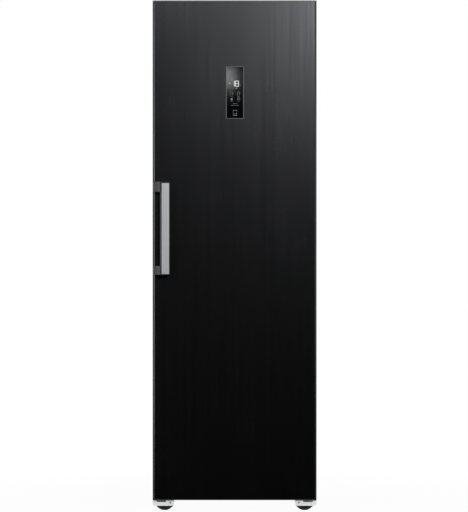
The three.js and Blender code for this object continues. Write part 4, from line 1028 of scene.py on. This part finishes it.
class FREEZER_OT_liner(Operator):
    """Makes the white liner with its rails and the ears of the flaps"""

    bl_idname = "freezer.liner"
    bl_label = "Liner"

    def execute(self, context):
        low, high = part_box("inner_liner")
        duct_low, duct_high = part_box("air_duct_cover")
        half, step_z = duct_high.x, duct_low.z
        wall, floor, top, step_y, corner = 0.002, 0.107, 1.777, 0.077, 0.01

        def space(grow, reach):
            """The cold space, stepped over the machine bay, grown by a wall and drawn out at the front."""
            front, back = low.y - reach, high.y - wall + grow
            corners = [
                (front, floor - grow), (step_y + grow, floor - grow), (step_y + grow, step_z - grow),
                (back, step_z - grow), (back, top + grow), (front, top + grow),
            ]
            shape = outline(corners, X, -half - grow, half + grow)
            return round_edges(shape, edges_at(shape, lambda m: m.y > front + 5e-6), corner + grow, 6)

        face = block(low, (high.x, low.y + wall, high.z))
        shell = carved(combine(space(wall, 0.0), [face], "UNION"), space(0.0, 0.01))
        front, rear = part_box("drawer_1")[0].y, duct_low.y - 0.0003
        inner, outer, tread = half - 0.018, half + 0.0008, 0.0045
        fittings = []
        rail = [
            (inner, -0.008), (outer, -0.008), (outer, 0.018), (inner, 0.018), (inner, tread),
            (inner + 0.012, tread), (inner + 0.012, 0), (inner, 0),
        ]
        for _, side in SIDES:
            for level in SHELF_LEVELS:
                points = [(side * x, level + z) for x, z in rail]
                fittings.append(soften(outline(points, Y, front, rear), 0.0012))
            guide = side_block(side, inner, outer, (front, floor - 0.0005), (step_y + 0.0008, floor + 0.018))
            fittings.append(soften(guide, 0.0015))
            for flap in ("flap_1", "flap_2"):
                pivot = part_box(flap)[1].z - 0.005
                ear = side_block(side, inner, outer, (front, pivot - 0.011), (front + 0.016, pivot + 0.0115))
                hole = rod((0, front + 0.005, pivot), 0.0035, *sorted((side * 0.21, side * 0.232)), X)
                fittings.append(carved(soften(ear, 0.001), hole))
        piece("inner_liner_moulded", merged(shell, *fittings), "white liner plastic", "inner_liner")
        return {"FINISHED"}


class FREEZER_OT_cold_air(Operator):
    """Makes the duct cover with its grilles, the fan, its motor and the interior light"""

    bl_idname = "freezer.cold_air"
    bl_label = "Cold air and light"

    def execute(self, context):
        low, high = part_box("air_duct_cover")
        fan = Vector((0, 0, middle_of("fan_motor").z))
        hub = (0, low.y + 0.001, fan.z)
        opening, over, slot_x, slot_z, slot_half, slot_rise = 0.066, 0.01, 0.11, 0.194, 0.075, 0.006
        corner, bar, spacing, bar_rise, set_back = 0.004, 0.0009, 0.015, 0.0065, 0.0004
        cuts, bars = [rod(fan, opening, low.y - over, high.y + over, Y, 64)], []
        for level in SHELF_LEVELS:
            for _, side in SIDES:
                x, z = side * slot_x, level + slot_z
                start = (x - slot_half, low.y - over, z - slot_rise)
                end = (x + slot_half, high.y + over, z + slot_rise)
                cuts.append(plate(start, end, Y, corner, segments=4))
                for i in range(-4, 5):
                    at = x + i * spacing
                    start = (at - bar, low.y + set_back, z - bar_rise)
                    bars.append(block(start, (at + bar, high.y, z + bar_rise)))
        cover = carved(soften(block(low, high), 0.0005), *cuts)
        for _, side in SIDES:
            for level in SHELF_LEVELS[:3]:
                start, end = (low.y - 0.0009, level + 0.03), (low.y + 0.0005, level + 0.034)
                bars.append(soften(side_block(side, 0.012, 0.2, start, end), 0.0004))
        for radius in (0.02, 0.031, 0.042, 0.053, 0.0642):
            section = [(radius + x * bar, y * bar) for x, y in ((-1, -1), (1, -1), (1, 1), (-1, 1), (-1, -1))]
            bars.append(turned(section, hub, Y, 64))
        for i in range(10):
            spoke = block((0.012, low.y + 0.0002, -bar), (opening + 0.003, low.y + 0.0022, bar))
            bars.append(placed(spoke, turn_at(fan, i * math.pi / 5, "Y")))
        boss = [(0, -0.0016), (0.011, -0.0016), (0.0135, -0.0006), (0.014, 0.0012), (0.0, 0.0012)]
        bars.append(turned(boss, hub, Y, 40))
        piece("duct_cover_grille", merged(cover, *bars), "white part plastic", "air_duct_cover")
        self.make_fan(context.scene.freezer_shape.fan_blades, fan.z)
        dress("fan_motor", "fan_motor_can", "grey back steel", 0.0012, 3)
        lens = plate(*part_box("interior_light"), Z, 0.008, 0.002, 8)
        piece("interior_light_lens", lens, "light lens", "interior_light")
        return {"FINISHED"}

    def make_fan(self, count, height):
        """A fan of twisted blades on a domed hub."""
        low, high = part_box("fan_blades")
        depth, radius, root, span, bend, thickness = high.y - low.y, 0.014, 0.0125, 0.0468, 0.006, 0.0013
        root_pitch, twist, arch = 36, 14, 0.0016
        hub = [(0, 0), (0.009, 0.0003), (0.0125, 0.0018), (radius, 0.005), (radius, depth), (0, depth)]
        parts = [turned(hub, (0, low.y, height), Y, 40)]
        for i in range(count):
            blade = bmesh.new()
            bmesh.ops.create_grid(blade, x_segments=10, y_segments=6, size=1)
            for v in blade.verts:
                along, across = (v.co.x + 1) / 2, v.co.y
                reach = root + span * along
                half = 0.007 + 0.0065 * math.sin(math.pi * min(along * 0.9 + 0.12, 0.98))
                sweep = bend * along * along
                pitch = math.radians(root_pitch - twist * along)
                chord, camber = across * half, arch * (1 - across * across)
                rise = chord * math.cos(pitch) + camber * math.sin(pitch)
                back = -chord * math.sin(pitch) + camber * math.cos(pitch)
                v.co = (math.sqrt(reach**2 - min(sweep, reach) ** 2), back, rise + sweep)
            bmesh.ops.recalc_face_normals(blade, faces=blade.faces)
            bmesh.ops.solidify(blade, geom=blade.faces, thickness=thickness)
            turn = turn_at((0, (low.y + high.y) / 2, height), i * 2 * math.pi / count, "Y")
            parts.append(placed(blade, turn))
        piece("fan_blades_twisted", merged(*parts), "black plastic", "fan_blades")


class FREEZER_OT_shelves(Operator):
    """Makes the glass shelves with their white front and rear edges"""

    bl_idname = "freezer.shelves"
    bl_label = "Glass shelves"

    def execute(self, context):
        for i, level in enumerate(SHELF_LEVELS, 1):
            node = f"glass_shelf_{i}"
            low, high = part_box(node)
            piece(f"{node}_pane", plate(low, high, Z, 0.004, 0.0006), "shelf glass", node)
            front = [
                (-0.002, 0.004), (-0.002, -0.0115), (-0.0012, -0.0128), (0.0012, -0.0128), (0.002, -0.0115),
                (0.002, -0.0022), (0.015, -0.0022), (0.015, -0.0001), (-0.0002, -0.0001), (-0.0002, 0.004),
            ]
            rear = [
                (0.0004, -0.0045), (0.0004, 0.004), (0.0001, 0.004), (0.0001, -0.0001), (-0.012, -0.0001),
                (-0.012, -0.0045),
            ]
            trims = []
            for edge, section in ((low.y, front), (high.y, rear)):
                trims.append(outline([(edge + y, level + z) for y, z in section], X, -0.2158, 0.2158))
            piece(f"{node}_trim", merged(*trims), "white part plastic")
        return {"FINISHED"}


class FREEZER_OT_drawers(Operator):
    """Makes the five clear drawers and the two clear flaps"""

    bl_idname = "freezer.drawers"
    bl_label = "Drawers and flaps"

    def execute(self, context):
        for i in range(1, 6):
            self.make_drawer(f"drawer_{i}")
        for i in (1, 2):
            self.make_flap(f"flap_{i}")
        return {"FINISHED"}

    def rounded_tub(self, low, high, corner, foot):
        """A box with round upright corners at the back and a round foot, open to be cut or filled."""
        body = block(low, high)
        round_edges(body, edges_along(body, Z, lambda m: m.y > 0), corner, 6)
        return round_edges(body, edges_at(body, lambda m: m.z < low[2] + 1e-5 and m.y > low[1] + 5e-6), foot)

    def grooves(self, half, front, levels, depth):
        """Cuts for level grooves across the front of a panel."""
        rise = depth + 0.0001
        return [block((-half, front - 0.001, z - rise), (half, front + depth, z + rise)) for z in levels]

    def make_drawer(self, node):
        """A rounded tub with a rolled rim, ribs and a thicker front with its grip."""
        low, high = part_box(node)
        wall, inset, front, over, rim, rim_width = 0.0024, 0.003, 0.004, 0.01, 0.0042, 0.007
        rear_run, rear_height, corner, foot = 0.05, 0.15, 0.016, 0.007
        edge, top, side_wall = high.y - rear_run, low.z + rear_height, inset + wall
        back = (high.x - inset, high.y - inset, high.z)
        tub = self.rounded_tub((low.x + inset, low.y + front - 0.0005, low.z), back, corner, foot)
        start = (low.x + side_wall, low.y + front - 0.001, low.z + wall)
        end = (high.x - side_wall, high.y - side_wall, high.z + over)
        room = self.rounded_tub(start, end, corner - wall, foot - wall)
        notch = block((low.x - over, edge, top), high + Vector((over, over, over)))
        slot_low, slot_high, slot_half = high.z - 0.046, high.z - 0.022, 0.075
        slot = plate((-slot_half, low.y - over, slot_low), (slot_half, low.y + over, slot_high), Y, 0.008)
        grooves = self.grooves(high.x - 0.012, low.y, (low.z + 0.014, high.z - 0.009), 0.0007)
        panel = plate(low, (high.x, low.y + front, high.z), Y, 0.007, 0.0011, 5)
        grip = [
            (front - 0.0003, 0), (0.02, -0.001), (0.0225, -0.008), (0.0245, -0.008), (0.022, 0.0012),
            (front - 0.0003, 0.003),
        ]
        grip_half = slot_half + 0.003
        grip = outline([(low.y + y, slot_high + z) for y, z in grip], X, -grip_half, grip_half)
        parts = [carved(tub, room, notch), carved(panel, slot, *grooves), soften(grip, 0.0005)]
        rims = [block((low.x, high.y - rim_width, top - rim), (high.x, high.y, top))]
        for _, side in SIDES:
            for start, end, level in ((low.y + front, edge, high.z), (edge, high.y - inset, top)):
                rims.append(side_block(side, high.x - rim_width, high.x, (start, level - rim), (end, level)))
            for y in (-0.1, 0.0, 0.1):
                if low.y + 0.02 < y < edge:
                    start, end = (y - 0.004, low.z + 0.012), (y + 0.004, high.z - rim)
                    rib = side_block(side, high.x - inset + 0.0002, high.x - 0.001, start, end)
                    parts.append(soften(rib, 0.0006))
        parts += [soften(strip, 0.0012) for strip in rims]
        piece(f"{node}_tub", merged(*parts), "clear drawer plastic", node)

    def make_flap(self, node):
        """A clear flap with a curled lower lip, two grooves and its pivot pins."""
        low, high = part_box(node)
        half, thick, lip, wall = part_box("drawer_1")[1].x, 0.003, 0.014, 0.0024
        sheet = plate((-half, low.y, low.z + 0.004), (half, low.y + thick, high.z), Y, 0.005, 0.0009, 5)
        cuts = self.grooves(half - 0.014, low.y, (low.z + 0.03, high.z - 0.022), 0.0008)
        curl = [
            (0, 0.012), (0, 0.004), (0.0015, 0.0012), (0.004, 0), (lip - 0.003, 0), (lip - 0.001, 0.001),
            (lip, 0.003), (lip, 0.008), (lip - 0.0022, 0.008), (lip - 0.0022, 0.0035), (lip - 0.004, wall),
            (0.0045, wall), (thick, 0.004), (thick, 0.012),
        ]
        parts = [carved(sheet, *cuts), outline([(low.y + y, low.z + z) for y, z in curl], X, -half, half)]
        pivot = (0, low.y + 0.005, high.z - 0.005)
        for _, side in SIDES:
            for radius, start, end in ((0.003, half - 0.002, high.x), (0.0048, half - 0.006, half)):
                parts.append(rod(pivot, radius, *sorted((side * start, side * end)), X, 24, 0.0005))
        piece(f"{node}_clear", merged(*parts), "clear drawer plastic", node)


# ---- Machine bay ----


class FREEZER_OT_machine(Operator):
    """Makes the compressor on its rubber feet, its cover, the tray, the pipes and the drier"""

    bl_idname = "freezer.machine"
    bl_label = "Machine bay"

    def execute(self, context):
        base, plate_top, plate_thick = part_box("compressor")[0].z, 0.055, 0.003
        middle = middle_of("compressor")
        middle.z = 0
        shell = [
            (0, 0), (0.05, 0), (0.062, 0.002), (0.071, 0.0075), (0.0775, 0.018), (0.0808, 0.031),
            (0.0815, 0.044), (0.0815, 0.066), (0.0836, 0.0664), (0.084, 0.0676), (0.084, 0.0714),
            (0.0836, 0.0726), (0.0803, 0.073), (0.0803, 0.094), (0.0792, 0.106), (0.0755, 0.1185),
            (0.069, 0.129), (0.059, 0.1385), (0.046, 0.1445), (0.03, 0.1473), (0.012, 0.148), (0, 0.148),
        ]
        half_x, half_y, inset = 0.1, 0.066, 0.014
        foot = plate(
            middle + Vector((-half_x, -half_y, plate_top - plate_thick)),
            middle + Vector((half_x, half_y, plate_top)), Z, 0.014, 0.0006,
        )
        shell = turned(shell, middle + Vector((0, 0, plate_top)), Z, 64)
        piece("compressor_shell", merged(shell, foot), "black enamel", "compressor", smooth=40)
        corners = [(x, y) for x in (inset - half_x, half_x - inset) for y in (inset - half_y, half_y - inset)]
        mounts = [(middle.x + x, middle.y + y, 0) for x, y in corners]
        rubber = [
            (0.0035, 0), (0.0088, 0), (0.009, 0.001), (0.009, 0.0042), (0.0072, 0.0052), (0.0072, 0.0068),
            (0.009, 0.0078), (0.009, 0.011), (0.0084, 0.012), (0.0035, 0.012), (0.0035, 0),
        ]
        rubber = [(radius, base + z) for radius, z in rubber]
        grommets = repeated(lambda: turned(rubber, steps=28), mounts)
        piece("compressor_grommets", grommets, "foot rubber")
        nut = [
            (0.003, 0), (0.0075, 0), (0.0075, 0.0012), (0.0048, 0.0012), (0.0048, 0.005), (0.0042, 0.0056),
            (0.003, 0.0056), (0.0028, 0.0085), (0, 0.0088),
        ]
        bolt = [(0, base), (0.003, base), *((radius, plate_top + z) for radius, z in nut)]
        bolts = repeated(lambda: turned(bolt, steps=12), mounts)
        piece("compressor_bolts", bolts, "zinc steel", smooth=20)
        self.make_stub(middle + Vector((-0.03, 0.072, plate_top + 0.085)))
        self.make_terminal_cover()
        dress("evaporation_tray", "evaporation_tray_moulded", "grey plastic", 0.0007)
        for node, side, forward in (("suction_pipe", -1, 0.35), ("discharge_pipe", 1, 0.75)):
            self.make_pipe(node, side, forward, middle)
        self.make_drier()
        return {"FINISHED"}

    def make_pipe(self, node, side, forward, middle):
        """A pipe that leaves the shell at an angle, bends upwards and rises to its CAD node's top."""
        low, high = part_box(node)
        x = low.x + 0.005 if side < 0 else high.x - 0.005
        y = middle.y - math.sin(forward) * 0.112
        out = Vector((side * math.cos(forward), -math.sin(forward), 0))
        start = middle + Vector((0, 0, 0.129))
        points = [start + out * 0.0785, start + out * 0.091, start + out * 0.098 + Vector((0, 0, 0.0008))]
        points += [Vector((x - side * 0.009, y, 0.1345)), Vector((x - side * 0.002, y, 0.1425))]
        points += [Vector((x, y, z)) for z in (0.155, 0.21, high.z)]
        piece(f"{node}_drawn", tube(points, 0.0032, 16), "copper pipe", node, smooth=60)

    def make_drier(self):
        """A drier drawn down to its pipes at both ends."""
        low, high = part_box("filter_drier")
        at = middle_of("filter_drier")
        at.z = 0
        drawn = [
            (0, 0), (0.0026, 0), (0.0032, 0.0008), (0.0034, 0.006), (0.0066, 0.0115), (0.0084, 0.0145),
            (0.009, 0.018), (0.009, 0.073), (0.0084, 0.0765), (0.0066, 0.0795), (0.0034, 0.085),
            (0.0032, 0.09),
        ]
        profile = [*((radius, low.z + z) for radius, z in drawn), (0.0032, high.z), (0, high.z)]
        piece("filter_drier_drawn", turned(profile, at), "copper pipe", "filter_drier", smooth=50)

    def make_stub(self, at):
        """Short closed filling pipe on the back of the shell, with its pinched end."""
        steps = ((0, 0, 0), (-0.004, 0.012, 0.001), (-0.006, 0.019, 0.009), (-0.0065, 0.02, 0.04))
        points = [at + Vector(step) for step in steps]
        end, pinch, pinch_length = points[3], 0.35, 0.008
        pipe = tube(points, 0.0031)
        for v in pipe.verts:
            if v.co.z > end.z - pinch_length:
                v.co.y = end.y + (v.co.y - end.y) * pinch
        piece("compressor_filling_pipe", pipe, "copper pipe", smooth=50)

    def make_terminal_cover(self):
        """Cover with ribs on its face and a round cable entry below."""
        low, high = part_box("compressor_terminal_cover")
        middle = middle_of("compressor_terminal_cover")
        parts = [plate(low, high, Z, 0.006, 0.0012)]
        for i in range(5):
            z = low.z + 0.012 + i * 0.0085
            rib = block((high.x - 0.0006, low.y + 0.008, z), (high.x + 0.0012, high.y - 0.008, z + 0.0025))
            parts.append(soften(rib, 0.0005))
        parts.append(rod((middle.x + 0.006, middle.y, 0), 0.006, low.z - 0.006, low.z + 0.002, Z, 24, 0.001))
        piece("terminal_cover_ribbed", merged(*parts), "black plastic", "compressor_terminal_cover")


# ---- Stage ----


class FREEZER_OT_stage(Operator):
    """Makes the floor, the lights and the camera"""

    bl_idname = "freezer.stage"
    bl_label = "Stage"

    def execute(self, context):
        scene = context.scene
        settings = scene.freezer_stage
        scene.view_settings.view_transform = "Standard"
        self.make_world(scene, settings)
        self.make_floor()
        self.make_lights(settings)
        camera = bpy.data.cameras.new("camera")
        camera.lens = settings.lens
        camera.sensor_width = 36
        camera.clip_end = 100
        holder = bpy.data.objects.new("camera", camera)
        door_front, aim_x, aim_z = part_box("door_skin")[0].y, -0.0022, 0.9244
        holder.location = (aim_x, door_front - settings.camera_distance, aim_z)
        holder.rotation_euler = (math.pi / 2, 0, 0)
        scene.collection.objects.link(holder)
        scene.camera = holder
        return {"FINISHED"}

    def make_world(self, scene, settings):
        """White background, even room light, and for gloss a room that is dark in front of the door."""
        world = bpy.data.worlds.new("room")
        scene.world = world
        world.use_nodes = True
        net = Net(world.node_tree)
        path = net.add("LightPath")
        place = net.add("TexCoord")["Generated"]
        depth = net.add("SeparateXYZ", {"Vector": place})["Y"]
        behind = net.contrast(depth, -0.05, 0.6)
        beside = net.contrast(depth, -0.9, -0.55)
        seen = net.math("MAXIMUM", path["Is Camera Ray"], path["Is Transmission Ray"])
        gloss = net.math("MULTIPLY_ADD", behind, 0.74, net.math("MULTIPLY", beside, 0.26))
        shown = net.math("MULTIPLY", path["Is Glossy Ray"], gloss)
        plain = net.math("SUBTRACT", 1, path["Is Glossy Ray"])
        room = net.math("MULTIPLY_ADD", plain, settings.room_light, shown)
        strength = net.math("MAXIMUM", seen, room)
        net.feed(net.nodes["Background"], {"Color": (1, 1, 1, 1), "Strength": strength})

    def make_floor(self):
        """Pale floor that fades to white and keeps a soft shadow."""
        radius, sunk, fade_start, fade_end, shadow_share = 6, 0.0006, 0.7, 1.8, 0.045
        bm = bmesh.new()
        bmesh.ops.create_circle(bm, cap_ends=True, segments=96, radius=radius)
        bmesh.ops.translate(bm, verts=bm.verts, vec=(0, 0, -sunk))
        floor = in_scene(bm, "floor")
        floor.visible_glossy = False
        material = bpy.data.materials.new("pale floor")
        material.use_nodes = True
        net = Net(material.node_tree)
        shader = net.nodes["Principled BSDF"]
        net.feed(shader, {"Base Color": (*grey(0.85), 1), "Roughness": 0.9, "Specular IOR Level": 0})
        glow = net.add("Emission")["Emission"]
        place = net.add("TexCoord")["Object"]
        distance = net.add("VectorMath", {0: place}, operation="LENGTH")["Value"]
        fade = net.contrast(distance, fade_start, fade_end)
        share = net.math("MULTIPLY_ADD", fade, shadow_share, 1 - shadow_share)
        camera_ray = net.add("LightPath")["Is Camera Ray"]
        seen = net.math("MULTIPLY", share, camera_ray)
        mix = net.add("MixShader", {"Fac": seen, 1: shader.outputs["BSDF"], 2: glow})
        net.feed(net.nodes["Material Output"], {"Surface": mix["Shader"]})
        floor.data.materials.append(material)

    def make_lights(self, settings):
        """A soft key light high on the right in front, and weaker ones for the door's edges and the display.

        Each row is name, place, target, width, height and power in watts."""
        lights = [
            ("key", (0.991, -3.841, 2.503), (0, 0, 1.0), 1.37, 1.27, settings.key_power),
            ("left edge", (-2.14, -2.14, 1.25), (-0.3, -0.3, 1.25), 1.5, 2.2, 34.0),
            ("right edge", (2.5, -1.6, 1.4), (0.3, -0.3, 1.4), 0.8, 1.8, 9.0),
            ("top left", (-0.32, -3.0, 2.36), (-0.2, -0.3, 1.7), 0.4, 0.2, 1.6),
            ("display glint", (-0.03, -2.3, 1.7), (-0.02, -0.3, 1.58), 0.06, 0.07, 0.1),
        ]
        for name, place, target, width, height, power in lights:
            lamp = bpy.data.lights.new(name, "AREA")
            lamp.shape = "RECTANGLE"
            lamp.size, lamp.size_y, lamp.energy = width, height, power
            holder = bpy.data.objects.new(name, lamp)
            holder.location = place
            holder.rotation_euler = (Vector(target) - Vector(place)).to_track_quat("-Z", "Y").to_euler()
            holder.visible_camera = False
            holder.visible_diffuse = name == "key"
            bpy.context.scene.collection.objects.link(holder)


# ---- Add-on ----

OPERATORS = (
    FREEZER_OT_door,
    FREEZER_OT_handle,
    FREEZER_OT_display,
    FREEZER_OT_feet,
    FREEZER_OT_cabinet,
    FREEZER_OT_hinges,
    FREEZER_OT_liner,
    FREEZER_OT_cold_air,
    FREEZER_OT_shelves,
    FREEZER_OT_drawers,
    FREEZER_OT_machine,
    FREEZER_OT_stage,
)


class FREEZER_PT_sidebar(Panel):
    """Lists the freezer's settings and pieces"""

    bl_label = "Freezer"
    bl_idname = "FREEZER_PT_sidebar"
    bl_space_type = "VIEW_3D"
    bl_region_type = "UI"
    bl_category = "Freezer"

    def draw(self, context):
        for group in (context.scene.freezer_finish, context.scene.freezer_shape, context.scene.freezer_stage):
            box = self.layout.box()
            for name in group.bl_rna.properties.keys():
                if name not in ("rna_type", "name"):
                    box.prop(group, name)
        for operator in OPERATORS:
            self.layout.operator(operator.bl_idname)


SETTINGS = (
    ("freezer_finish", FreezerFinishSettings),
    ("freezer_shape", FreezerShapeSettings),
    ("freezer_stage", FreezerStageSettings),
)


def register():
    for name, settings in SETTINGS:
        bpy.utils.register_class(settings)
        setattr(bpy.types.Scene, name, PointerProperty(type=settings))
    for item in (*OPERATORS, FREEZER_PT_sidebar):
        bpy.utils.register_class(item)


def unregister():
    for item in reversed((*OPERATORS, FREEZER_PT_sidebar)):
        bpy.utils.unregister_class(item)
    for name, settings in reversed(SETTINGS):
        delattr(bpy.types.Scene, name)
        bpy.utils.unregister_class(settings)


CAD_FINISH = {"foam": "cut foam", "evaporator_aluminium": "fin aluminium", "copper": "copper pipe"}


def finish_cad_nodes():
    """Gives each CAD node that still shows the material of its slot."""
    for node, shown in frame["nodes"].items():
        if not shown.hide_render:
            slot = shown.material_slots[0]
            slot.link = "OBJECT"
            slot.material = finishes()[CAD_FINISH[SLOT_OF_NODE[node]]]


def main():
    register()
    for operator in OPERATORS:
        group, name = operator.bl_idname.split(".")
        getattr(getattr(bpy.ops, group), name)()
    finish_cad_nodes()


if __name__ == "__main__":
    main()
